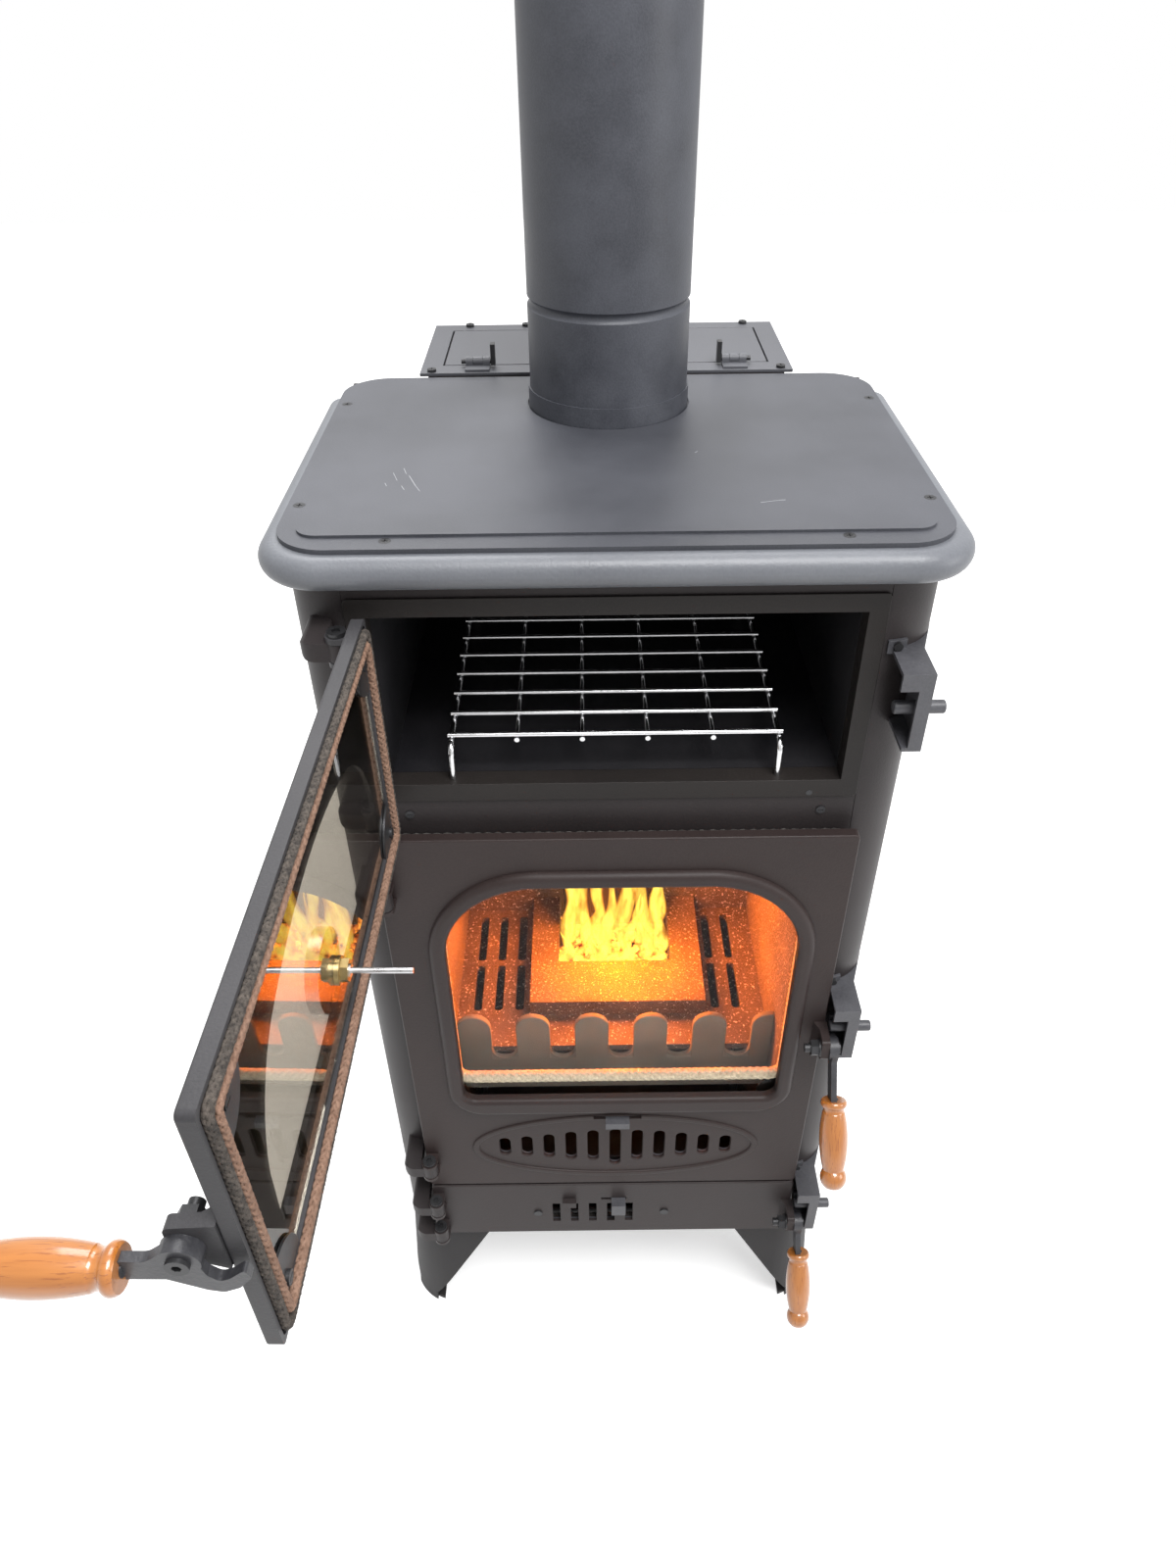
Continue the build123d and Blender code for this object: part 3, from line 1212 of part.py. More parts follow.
def lever(arm, pivot_z):
    """A flat hook, a thick boss and a lower arm with a tang for the handle."""
    high = LEVER_ARM_HALF_HEIGHT - LEVER_ARM_DROP
    low = -LEVER_ARM_HALF_HEIGHT - LEVER_ARM_DROP
    hook = [
        (-9, -13),
        (8, -22.5),
        (15, -24.5),
        (23, -20.5),
        (29.5, -12),
        (27.5, -5.5),
        (20, -12.5),
        (15, -15),
        (10.4, -10),
        (8, 0),
        (-9, 0),
    ]
    outline = rounded(hook, [0, 5, 5, 5, 2, 1.5, 3, 3, 2, 0, 0])
    tail = [(-arm, low), (0, low), (0, 9), (-5, 9), (-14, high), (-arm, high)]
    outline += rounded(tail, [0, 0, 0, 3, 6, 0])
    outline += Circle(LEVER_BOSS)
    x = (LEVER_X, LEVER_X + LEVER_THICKNESS)
    body = slab_x(Pos(PIVOT_Y, pivot_z) * outline, x)
    body += rod_x(LEVER_BOSS, (BRACKET_X[1] + HEAD_GAP, x[1]), PIVOT_Y, pivot_z)
    end = PIVOT_Y - arm
    tang = (end - TANG_LENGTH, end + TANG_ROOT)
    body += rod_y(TANG_RADIUS, HANDLE_X, tang, pivot_z - LEVER_ARM_DROP)
    bore = (BRACKET_X[1] - 1, x[1] + 1)
    return body - rod_x(LEVER_BOLT_RADIUS + RUNNING_CLEARANCE, bore, PIVOT_Y, pivot_z)


def handle(arm, pivot_z):
    """A turned handle: a collar, a neck, a belly, a second neck and a bead."""
    length = HANDLE_LENGTH
    collar = HANDLE_COLLAR
    outline = Wire(
        [
            Line((0, 0), (collar - 1.5, 0)),
            ThreePointArc((collar - 1.5, 0), (collar, 3), (collar - 1.0, 6)),
            ThreePointArc((collar - 1.0, 6), (HANDLE_NECK, 9), (HANDLE_NECK + 0.8, 12)),
            ThreePointArc(
                (HANDLE_NECK + 0.8, 12),
                (HANDLE_RADIUS, length * 0.46),
                (HANDLE_NECK, length * 0.80),
            ),
            ThreePointArc(
                (HANDLE_NECK, length * 0.80),
                (HANDLE_BEAD, length * 0.90),
                (HANDLE_BEAD - 4, length),
            ),
            Line((HANDLE_BEAD - 4, length), (0, length)),
            Line((0, length), (0, 0)),
        ]
    )
    turned = revolve(Plane.XZ * make_face(outline), axis=Axis.Z, revolution_arc=360)
    hole = TANG_LENGTH + TANG_END_GAP
    turned -= rod_z(TANG_RADIUS + TANG_CLEARANCE, 0, 0, (-1, hole))
    z = pivot_z - LEVER_ARM_DROP
    return Pos(HANDLE_X, PIVOT_Y - arm - TANG_CLEARANCE, z) * Rot(90, 0, 0) * turned


def turned_lever(shape, pivot_z, angle):
    """Turn a lever's piece about its bolt; a positive angle lowers the handle."""
    axis = Axis((0, PIVOT_Y, pivot_z), (1, 0, 0))
    return shape.rotate(axis, angle)


def opened_oven_door(shape):
    """Turn a piece of the oven door about its hinge to where it stands open."""
    return shape.rotate(Axis((HINGE_X, HINGE_Y, 0), (0, 0, 1)), -OVEN_DOOR_REST_ANGLE)


# Glass and its clips


def clip_places(x, z):
    """The four corner bosses, as x, z and the signs of the corner."""
    inset = CLIP_BOSS_INSET
    places = []
    for sx, px in ((-1, x[0] + inset), (1, x[1] - inset)):
        for sz, pz in ((-1, z[0] + inset), (1, z[1] - inset)):
            places.append((px, pz, sx, sz))
    return places


def clip_bosses(x, z, face):
    bosses = Part()
    for px, pz, sx, sz in clip_places(x, z):
        bosses += rod_y(CLIP_BOSS_RADIUS, px, (CHANNEL_FLOOR - 0.5, face), pz)
        hole = (face - CLIP_SCREW_LENGTH - 0.5, face + 1)
        bosses -= rod_y(CLIP_SCREW_RADIUS + SCREW_CLEARANCE, px, hole, pz)
    return bosses


def glass_clips(x, z, face):
    """A quarter-round clip over each corner of the glass, and its screw."""
    clips = clip_screws(x, z, face)
    for px, pz, sx, sz in clip_places(x, z):
        corner_x = px + sx * (CLIP_BOSS_INSET - CLIP_CORNER_INSET)
        corner_z = pz + sz * (CLIP_BOSS_INSET - CLIP_CORNER_INSET)
        disc = rod_y(CLIP_RADIUS, corner_x, (face, face + CLIP_SHEET), corner_z)
        reach = CLIP_RADIUS + 1
        quarter = block(
            sorted((corner_x, corner_x - sx * reach)),
            (face, face + CLIP_SHEET),
            sorted((corner_z, corner_z - sz * reach)),
        )
        hole = (face - 1, face + CLIP_SHEET + 1)
        clips.append((disc & quarter) - rod_y(CLIP_SCREW_RADIUS + SCREW_CLEARANCE, px, hole, pz))
    return clips


def clip_screws(x, z, face):
    seat = face + CLIP_SHEET
    end = seat + CLIP_SCREW_HEAD
    slot_bar = Box(3 * CLIP_SCREW_RADIUS, 2 * CROSS_SLOT_DEPTH, CROSS_SLOT_WIDTH)
    screws = []
    for px, pz, sx, sz in clip_places(x, z):
        screw = rod_y(CLIP_SCREW_RADIUS, px, (face - CLIP_SCREW_LENGTH, seat), pz)
        screw += rod_y(CLIP_SCREW_HEAD_RADIUS, px, (seat, end), pz)
        screws.append(screw - Pos(px, end, pz) * slot_bar)
    return screws


def glass_pane(x, z):
    """A pane with its corners cut off for the clip bosses."""
    cut = GLASS_CORNER_CUT
    points = [
        (x[0] + cut, z[0]),
        (x[1] - cut, z[0]),
        (x[1], z[0] + cut),
        (x[1], z[1] - cut),
        (x[1] - cut, z[1]),
        (x[0] + cut, z[1]),
        (x[0], z[1] - cut),
        (x[0], z[0] + cut),
    ]
    low = CHANNEL_FLOOR + GLASS_CLEARANCE
    return slab_y(make_face(Polyline(*points, close=True)), (low, low + GLASS_THICKNESS))


# Oven door

OVEN_DOOR_Z = (OVEN_DOOR_BOTTOM, OVEN_DOOR_TOP)
OVEN_SEAT_X = (-DOOR_HALF_WIDTH + DOOR_INSET, DOOR_HALF_WIDTH - DOOR_INSET)
OVEN_SEAT_Z = (OVEN_DOOR_BOTTOM + DOOR_INSET, OVEN_DOOR_TOP - DOOR_INSET)
OVEN_CLIP_FACE = GLASS_IN + GLASS_CLEARANCE


def oven_window():
    """A flat-bottomed arch with round shoulders."""
    half = OVEN_WINDOW_HALF_WIDTH
    low = OVEN_WINDOW_BOTTOM
    top = OVEN_WINDOW_TOP
    waist = (half - 3, low + 38)
    shoulder = (half - 18, low + 70)
    crown = (half - 49, top - 16)
    return make_face(
        Wire(
            [
                Line((-half, low), (half, low)),
                Line((half, low), waist),
                ThreePointArc(waist, shoulder, crown),
                ThreePointArc(crown, (0, top), (-crown[0], crown[1])),
                ThreePointArc((-crown[0], crown[1]), (-shoulder[0], shoulder[1]), (-waist[0], waist[1])),
                Line((-waist[0], waist[1]), (-half, low)),
            ]
        )
    )


def oven_door():
    door = door_shell(OVEN_DOOR_Z)
    door -= slab_y(oven_window(), (DOOR_OUT - 1, DOOR_IN + 1))
    door += clip_bosses(OVEN_SEAT_X, OVEN_SEAT_Z, OVEN_CLIP_FACE)
    return door + hinge_eyes(OVEN_HINGES)


def oven_glass():
    gap = GLASS_EDGE_CLEARANCE
    x = (OVEN_SEAT_X[0] + gap, OVEN_SEAT_X[1] - gap)
    z = (OVEN_SEAT_Z[0] + gap, OVEN_SEAT_Z[1] - gap)
    pane = glass_pane(x, z)
    hole = PROBE_STEM_RADIUS + PROBE_HOLE_CLEARANCE
    return pane - rod_y(hole, 0, (DOOR_OUT, DOOR_IN), THERMOMETER_Z)


def thermometer_dial():
    """The round dial in front of the door, on its stem through the glass."""
    back = DOOR_OUT - DIAL_GAP
    face = back - DIAL_DEPTH
    dial = rod_y(DIAL_RADIUS, 0, (face, back), THERMOMETER_Z)
    dial -= rod_y(DIAL_RADIUS - DIAL_BEZEL, 0, (face - 1, face + DIAL_RECESS), THERMOMETER_Z)
    dial += rod_y(PROBE_STEM_RADIUS, 0, (back, GLASS_IN + PROBE_NUT_LENGTH), THERMOMETER_Z)
    tip = GLASS_IN + PROBE_LENGTH
    return dial + rod_y(PROBE_RADIUS, 0, (back, tip), THERMOMETER_Z)


def thermometer_nut():
    """The knurled nut that clamps the thermometer to the glass."""
    y = (GLASS_IN + HEAD_GAP, GLASS_IN + PROBE_NUT_LENGTH - 1)
    flange = y[0] + PROBE_NUT_FLANGE
    nut = rod_y(PROBE_NUT_RADIUS, 0, (y[0], flange), THERMOMETER_Z)
    hexagon = Pos(0, THERMOMETER_Z) * RegularPolygon(PROBE_NUT_RADIUS * 5 / 6, 6)
    nut += slab_y(hexagon, (flange, y[1]))
    bore = PROBE_STEM_RADIUS + SCREW_CLEARANCE
    return nut - rod_y(bore, 0, (y[0] - 1, y[1] + 1), THERMOMETER_Z)


# Fire door

FIRE_DOOR_Z = (FIRE_DOOR_BOTTOM, FIRE_DOOR_TOP)
FIRE_SEAT_X = (-OPENING_HALF_WIDTH + SEAT_GAP, OPENING_HALF_WIDTH - SEAT_GAP)
FIRE_SEAT_Z = (WINDOW_BOTTOM - SEAT_BELOW, FIRE_OPENING_TOP - SEAT_GAP)
FIRE_CLIP_FACE = GLASS_IN + GLASS_CLEARANCE + GLASS_ROPE


def fire_window(offset=0.0, below=0.0):
    """The window's outline: large upper shoulders and small lower corners."""
    x = (WINDOW_X - WINDOW_HALF_WIDTH - offset, WINDOW_X + WINDOW_HALF_WIDTH + offset)
    z = (WINDOW_BOTTOM - below, WINDOW_TOP + offset)
    points = [(x[0], z[0]), (x[1], z[0]), (x[1], z[1]), (x[0], z[1])]
    corner = WINDOW_CORNER + below
    shoulder = WINDOW_SHOULDER + offset
    return rounded(points, [corner, corner, shoulder, shoulder])


def vent_ring():
    """The soft raised ring round the vent."""
    half_x = VENT_HALF_WIDTH
    half_z = VENT_HALF_HEIGHT
    width = VENT_RING_WIDTH
    plan = Ellipse(half_x, half_z) - Ellipse(half_x - width, half_z - width)
    ring = slab_y(Pos(VENT_X, VENT_Z) * plan, (DOOR_OUT - VENT_RING_RISE, DOOR_OUT + 1))
    edges = ring.edges().filter_by(
        lambda e: abs(e.bounding_box().min.Y - (DOOR_OUT - VENT_RING_RISE)) < 0.01
        and abs(e.bounding_box().max.Y - (DOOR_OUT - VENT_RING_RISE)) < 0.01
    )
    return fillet(edges, VENT_RING_RISE - 0.1)


def vent_slots(depth):
    """The vent's slots, shorter towards the ends of the oval; the middle one reaches lower."""
    slots = Part()
    for step, height in enumerate(VENT_SLOT_HEIGHTS):
        z = VENT_Z if step else VENT_Z - VENT_MIDDLE_DROP
        for side in (-1, 1) if step else (1,):
            x = VENT_X + side * step * VENT_PITCH
            slots += slab_y(slot(VENT_SLOT_WIDTH, height, x, z), depth)
    return slots


def fire_door():
    """The door with its window lip, its vent and the guides for the air slider."""
    door = door_shell(FIRE_DOOR_Z)
    lip = slab_y(fire_window(LIP_WIDTH, LIP_BELOW), (DOOR_OUT - LIP_RISE, DOOR_OUT + 1))
    outer = lip.edges().filter_by(
        lambda e: abs(e.bounding_box().min.Y - (DOOR_OUT - LIP_RISE)) < 0.01
        and abs(e.bounding_box().max.Y - (DOOR_OUT - LIP_RISE)) < 0.01
    )
    lip = fillet(outer, LIP_ROUNDING) - slab_y(fire_window(), (DOOR_OUT - LIP_RISE - 1, DOOR_OUT + 2))
    inner = lip.edges().filter_by(
        lambda e: abs(e.bounding_box().min.Y - (DOOR_OUT - LIP_RISE)) < 0.01
        and abs(e.bounding_box().max.Y - (DOOR_OUT - LIP_RISE)) < 0.01
    )
    half = WINDOW_HALF_WIDTH + LIP_INNER_ROUNDING / 2
    inner = inner.filter_by(
        lambda e: abs(e.bounding_box().min.X - WINDOW_X) < half and abs(e.bounding_box().max.X - WINDOW_X) < half
    )
    door += fillet(inner, LIP_INNER_ROUNDING)
    door -= slab_y(fire_window(), (DOOR_OUT - LIP_RISE - 1, DOOR_IN + 1))
    door += vent_ring()
    door -= vent_slots((DOOR_OUT - 1, DOOR_IN + 1))
    rims = door.edges().filter_by(
        lambda e: abs(e.bounding_box().min.Y - DOOR_OUT) < 0.01
        and abs(e.bounding_box().max.Y - DOOR_OUT) < 0.01
        and abs(e.center().Z - VENT_Z) < VENT_TALL / 2 + 4
        and abs(e.center().X - VENT_X) < VENT_HALF_WIDTH - 2 * VENT_RING_WIDTH
    )
    door = fillet(rims, VENT_RIM_ROUNDING)
    slit = FIRE_TAB_WIDTH / 2 + FIRE_SLIDER_TRAVEL + TAB_SLIT_CLEARANCE
    door -= tab_slit((FIRE_TAB_X - slit, FIRE_TAB_X + slit), FIRE_TAB_Z[1])
    door += clip_bosses(FIRE_SEAT_X, FIRE_SEAT_Z, FIRE_CLIP_FACE)
    return door + fire_slider_guides() + hinge_eyes(FIRE_HINGES)


SLIDER_Y = (CHANNEL_FLOOR + SLIDER_GAP, CHANNEL_FLOOR + SLIDER_GAP + SLIDER_SHEET)
SLIDER_LOW = VENT_Z - VENT_MIDDLE_DROP - VENT_TALL / 2 - SLIDER_BORDER
SLIDER_HALF = VENT_PITCH * (VENT_SLOTS - 1) / 2 + VENT_SLOT_WIDTH / 2 + SLIDER_BORDER


def tab_slit(x, top):
    """The slit in a door's skin for a slider's tab, whose top is given."""
    z = (top - TAB_SLIT, top + TAB_SLIT_CLEARANCE)
    return block(x, (DOOR_OUT - VENT_RING_RISE - 1, CHANNEL_FLOOR + 1), z)


def slider_tab(x, z):
    """A tab bent out of a slider, through the door and down in front of it."""
    end = DOOR_OUT - TAB_OUT
    tab = block(x, (end, SLIDER_Y[0] + SLIDER_GAP), (z[1] - TAB_SHEET, z[1]))
    return tab + block(x, (end, end + TAB_SHEET), z)


def fire_air_slider():
    """A slotted plate behind the vent, with a tab bent out through the door."""
    x = (VENT_X - SLIDER_HALF, VENT_X + SLIDER_HALF)
    slider = block(x, SLIDER_Y, (SLIDER_LOW, FIRE_TAB_Z[1]))
    slider -= vent_slots((SLIDER_Y[0] - 1, SLIDER_Y[1] + 1))
    half = FIRE_TAB_WIDTH / 2
    return slider + slider_tab((FIRE_TAB_X - half, FIRE_TAB_X + half), FIRE_TAB_Z)


def fire_slider_guides():
    """Two stepped rails on the door that hold the slider against it."""
    x = (VENT_X - SLIDER_HALF, VENT_X + SLIDER_HALF)
    lip_y = (SLIDER_Y[1] + SLIDER_GAP, SLIDER_Y[1] + SLIDER_GAP + GUIDE_SHEET)
    rails = Part()
    for edge, way in ((SLIDER_LOW, -1), (FIRE_TAB_Z[1], 1)):
        outer = edge + way * GUIDE_RAIL
        foot = sorted((edge + way * GUIDE_GAP, outer))
        rails += block(x, (CHANNEL_FLOOR - 0.5, lip_y[0]), foot)
        rails += block(x, lip_y, sorted((edge - way * GUIDE_LIP, outer)))
    return rails


def fire_glass():
    gap = GLASS_EDGE_CLEARANCE
    x = (FIRE_SEAT_X[0] + gap, FIRE_SEAT_X[1] - gap)
    z = (FIRE_SEAT_Z[0] + gap, FIRE_SEAT_Z[1] - gap)
    return glass_pane(x, z)


def fire_glass_rope():
    """The pale rope that the clips press on the glass, higher along its foot."""
    side = GLASS_ROPE / 2 + GLASS_ROPE_MARGIN
    x = (WINDOW_X - WINDOW_HALF_WIDTH - side, WINDOW_X + WINDOW_HALF_WIDTH + side)
    z = (WINDOW_BOTTOM + GLASS_ROPE_RISE, WINDOW_TOP + side)
    radius = GLASS_ROPE / 2
    wide, tight = GLASS_ROPE_CORNERS
    foot = GLASS_ROPE_FOOT
    outer = rectangle((x[0] - radius, x[1] + radius), (z[0] - foot, z[1] + radius), wide)
    inner = rectangle((x[0] + radius, x[1] - radius), (z[0] + foot, z[1] - radius), tight)
    low = GLASS_IN
    rope = slab_y(outer - inner, (low, low + GLASS_ROPE))
    return fillet(rope.edges().filter_by(lambda e: abs(e.center().Y - low - radius) > radius - 0.1), 4.0)


# Ash door

ASH_DOOR_Z = (ASH_DOOR_BOTTOM, ASH_DOOR_TOP)


def ash_slot_bars(depth):
    bars = Part()
    for i in range(ASH_SLOTS):
        x = ASH_SLOT_X + i * ASH_SLOT_PITCH
        half = ASH_SLOT_WIDTH / 2
        bars += block((x - half, x + half), depth, ASH_SLOT_Z)
    return bars


def ash_door():
    door = door_shell(ASH_DOOR_Z)
    door -= ash_slot_bars((DOOR_OUT - 1, DOOR_IN + 1))
    gap = TAB_SLIT_CLEARANCE
    door -= tab_slit((ASH_TAB_X[0] - ASH_SLIDER_TRAVEL - gap, ASH_TAB_X[1] + gap), ASH_TAB_Z[1])
    stop_z = (sum(ASH_TAB_Z) / 2, ASH_TAB_Z[1])
    door += block(ASH_FIXED_TAB_X, (DOOR_OUT - ASH_FIXED_TAB_OUT, DOOR_OUT + 1), stop_z)
    for x in ASH_RIVET_X:
        door -= rod_y(RIVET_RADIUS + SCREW_CLEARANCE, x, (DOOR_OUT - 1, DOOR_IN), ASH_RIVET_Z)
    return door + hinge_eyes(ASH_HINGES)


def ash_air_slider():
    """A slotted plate behind the ash door, hung on two rivets."""
    border = ASH_SLIDER_BORDER
    x = (ASH_RIVET_X[0] - border, ASH_RIVET_X[1] + ASH_SLIDER_TRAVEL + border)
    low = ASH_DOOR_BOTTOM + DOOR_INSET + 1
    slider = block(x, SLIDER_Y, (low, ASH_TAB_Z[1]))
    slider -= ash_slot_bars((SLIDER_Y[0] - 1, SLIDER_Y[1] + 1))
    for rivet in ASH_RIVET_X:
        half = RIVET_RADIUS + SLIDER_GAP
        reach = (rivet - half, rivet + half + ASH_SLIDER_TRAVEL)
        z = (ASH_RIVET_Z - half, ASH_RIVET_Z + half)
        slider -= block(reach, (SLIDER_Y[0] - 1, SLIDER_Y[1] + 1), z)
    return slider + slider_tab(ASH_TAB_X, ASH_TAB_Z)


def ash_rivets():
    """The rivets that carry the ash slider, with a head on each side."""
    rivets = []
    for x in ASH_RIVET_X:
        tail = SLIDER_Y[1] + SLIDER_GAP
        height = RIVET_HEAD_HEIGHT
        rivet = rod_y(RIVET_RADIUS, x, (DOOR_OUT - 1, tail), ASH_RIVET_Z)
        rivet += rod_y(RIVET_HEAD, x, (DOOR_OUT - height, DOOR_OUT), ASH_RIVET_Z)
        rivets.append(rivet + rod_y(RIVET_HEAD, x, (tail, tail + height), ASH_RIVET_Z))
    return rivets


def front_screws():
    """Two screws and a rivet in the front, below and on the oven's frame."""
    top = FRONT - FRONT_SCREW_HEAD
    z = FRONT_SCREW[1]
    slot_bar = Box(FRONT_SCREW_SLOT, CROSS_SLOT_DEPTH, CROSS_SLOT_WIDTH)
    screws = []
    for x in (-FRONT_SCREW[0], FRONT_SCREW[0]):
        screws.append(rod_y(FRONT_SCREW_RADIUS, x, (top, FRONT), z) - Pos(x, top, z) * slot_bar)
    face = FRONT - OVEN_FRAME_RISE
    rivet_y = (face - FRAME_RIVET_HEAD, face)
    screws.append(rod_y(RIVET_RADIUS, FRAME_RIVET[0], rivet_y, FRAME_RIVET[1]))
    return screws


def all_parts():
    """Every node, by name."""
    nodes = {
        "left_side_panel": side_panel(-1),
        "right_side_panel": side_panel(1),
        "front_panel": front_panel(),
        "rear_panel": rear_panel(),
        "base_panel": base_panel(),
        "legs": [leg(side, end) for side in (-1, 1) for end in (-1, 1)],
        "hob_rim": hob_rim(),
        "hob_plate": hob_plate(),
        "hob_screws": [hob_screw(x, y) for x, y in hob_screw_places()],
        "flue_collar": flue_collar(),
        "flue_pipe": flue_pipe(),
        "oven_frame": oven_frame(),
        "oven_liner": oven_liner(),
        "oven_rack": oven_rack(),
        "firebox_liner": firebox_liner(),
        "fire_grate": fire_grate(),
        "guard_comb": guard_comb(),
        "burner": burner(),
        "smoke_baffle": smoke_baffle(),
        "ash_runners": ash_runners(),
        "ash_pan": ash_pan(),
        "pellet_chute": pellet_chute(),
        "hopper_box": hopper_box(),
        "hopper_stays": hopper_stays(),
        "hopper_top": hopper_top(),
        "hopper_gasket": hopper_gasket(),
        "hopper_lid": hopper_lid(),
        "lid_fixed_leaves": lid_fixed_leaves(),
        "lid_moving_leaves": lid_moving_leaves(),
        "lid_hinge_pins": lid_hinge_pins(),
    }
    hinges = OVEN_HINGES + FIRE_HINGES + ASH_HINGES
    pins = (OVEN_PIN_Z, FIRE_PIN_Z, ASH_PIN_Z)
    nodes["hinge_lugs"] = [hinge_lug(z) for z in hinges]
    nodes["hinge_bolts"] = [hinge_bolt(z) for z in hinges]
    nodes["keeper_pins"] = [keeper_pin(z) for z in pins]
    nodes["keepers"] = [keeper(z) for z in pins]
    nodes["casing_screws"] = front_screws() + hopper_screws() + [keeper_bolt(z) for z in pins]

    oven_reach = FRONT - OVEN_FRAME_RISE
    oven_nodes = {
        "oven_door": oven_door() + lever_bracket(OVEN_PIVOT_Z),
        "oven_door_rope": door_rope(OVEN_DOOR_Z, oven_reach),
        "oven_glass": oven_glass(),
        "oven_glass_clips": glass_clips(OVEN_SEAT_X, OVEN_SEAT_Z, OVEN_CLIP_FACE),
        "thermometer": thermometer_dial(),
        "thermometer_nut": thermometer_nut(),
        "oven_lever": lever(OVEN_LEVER_ARM, OVEN_PIVOT_Z),
        "oven_handle": handle(OVEN_LEVER_ARM, OVEN_PIVOT_Z),
        "oven_lever_bolt": lever_fasteners(OVEN_PIVOT_Z),
    }
    for name, shape in oven_nodes.items():
        if isinstance(shape, list):
            nodes[name] = [opened_oven_door(piece) for piece in shape]
        else:
            nodes[name] = opened_oven_door(shape)

    nodes["fire_door"] = fire_door() + lever_bracket(FIRE_PIVOT_Z)
    nodes["fire_door_rope"] = door_rope(FIRE_DOOR_Z, FRONT)
    nodes["fire_glass"] = fire_glass()
    nodes["fire_glass_rope"] = fire_glass_rope()
    nodes["fire_glass_clips"] = glass_clips(FIRE_SEAT_X, FIRE_SEAT_Z, FIRE_CLIP_FACE)
    nodes["fire_air_slider"] = fire_air_slider()
    nodes["ash_door"] = ash_door() + lever_bracket(ASH_PIVOT_Z)
    nodes["ash_door_rope"] = door_rope(ASH_DOOR_Z, FRONT)
    nodes["ash_air_slider"] = ash_air_slider()
    nodes["ash_rivets"] = ash_rivets()
    sides = (("fire", FIRE_PIVOT_Z, FIRE_LEVER_ARM), ("ash", ASH_PIVOT_Z, ASH_LEVER_ARM))
    for name, pivot, arm in sides:
        nodes[f"{name}_lever_bolt"] = lever_fasteners(pivot)
        nodes[f"{name}_lever"] = turned_lever(lever(arm, pivot), pivot, LATCH_TURN)
        nodes[f"{name}_handle"] = turned_lever(handle(arm, pivot), pivot, LATCH_TURN)
    return nodes


os.makedirs("parts", exist_ok=True)
for old in os.listdir("parts"):
    os.remove(os.path.join("parts", old))
for node, shape in all_parts().items():
    if isinstance(shape, list):
        shape = Compound(children=[piece for piece in shape])
    export_step(shape, os.path.join("parts", f"{node}.step"))
    print(node)
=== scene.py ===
import json
import math
import random

import bpy
import bmesh
from mathutils import Matrix, Vector, noise as cloud


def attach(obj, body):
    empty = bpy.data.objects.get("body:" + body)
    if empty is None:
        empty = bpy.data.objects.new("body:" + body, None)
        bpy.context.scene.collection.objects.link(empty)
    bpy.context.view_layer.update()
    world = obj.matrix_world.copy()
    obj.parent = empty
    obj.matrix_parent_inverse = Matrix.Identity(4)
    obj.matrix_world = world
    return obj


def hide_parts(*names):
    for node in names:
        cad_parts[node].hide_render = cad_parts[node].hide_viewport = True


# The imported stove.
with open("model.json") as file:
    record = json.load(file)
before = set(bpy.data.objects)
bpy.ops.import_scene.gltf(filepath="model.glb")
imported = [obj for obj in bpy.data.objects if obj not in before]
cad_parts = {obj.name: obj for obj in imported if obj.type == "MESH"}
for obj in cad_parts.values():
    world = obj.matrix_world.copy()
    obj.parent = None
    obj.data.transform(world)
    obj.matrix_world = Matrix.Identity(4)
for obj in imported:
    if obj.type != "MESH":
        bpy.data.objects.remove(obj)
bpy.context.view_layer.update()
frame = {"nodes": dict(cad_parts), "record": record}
nodes = frame["nodes"]
MM = 0.001
scene = bpy.context.scene
scene.view_settings.view_transform = "Standard"


# The camera: someone stands in front of the stove and looks down at its hob and doors.
camera_place = Vector((-21.7, -821.1, 1315.4)) * MM
camera_pitch = math.radians(38.421)
camera_yaw = math.radians(0.047)
camera_roll = math.radians(0.687)
camera_data = bpy.data.cameras.new("camera")
camera_data.sensor_fit = "HORIZONTAL"
camera_data.sensor_width = 36.0
camera_data.lens = 33.25
camera_data.clip_start = 0.02
camera = bpy.data.objects.new("camera", camera_data)
scene.collection.objects.link(camera)
forward = Vector(
    (
        math.sin(camera_yaw) * math.cos(camera_pitch),
        math.cos(camera_yaw) * math.cos(camera_pitch),
        -math.sin(camera_pitch),
    )
)
level = Vector((math.cos(camera_yaw), -math.sin(camera_yaw), 0.0))
down = forward.cross(level)
across = level * math.cos(camera_roll) + down * math.sin(camera_roll)
down = down * math.cos(camera_roll) - level * math.sin(camera_roll)
turn = Matrix((across, -down, -forward)).transposed().to_4x4()
camera.matrix_world = Matrix.Translation(camera_place) @ turn
scene.camera = camera


# The casing: folded sheet steel with round front columns, under satin black heat-resistant paint.
# The paint is a little uneven and has a fine grain, and every sheet edge is slightly eased.
def node_group(name, inputs, outputs):
    """A new shader group with named sockets; returns it with its inner ends."""
    group = bpy.data.node_groups.new(name, "ShaderNodeTree")
    for label, kind, value in inputs:
        socket = group.interface.new_socket(name=label, in_out="INPUT", socket_type=kind)
        if value is not None:
            socket.default_value = value
    for label, kind in outputs:
        group.interface.new_socket(name=label, in_out="OUTPUT", socket_type=kind)
    entry = group.nodes.new("NodeGroupInput")
    leave = group.nodes.new("NodeGroupOutput")
    return group, entry.outputs, leave.inputs


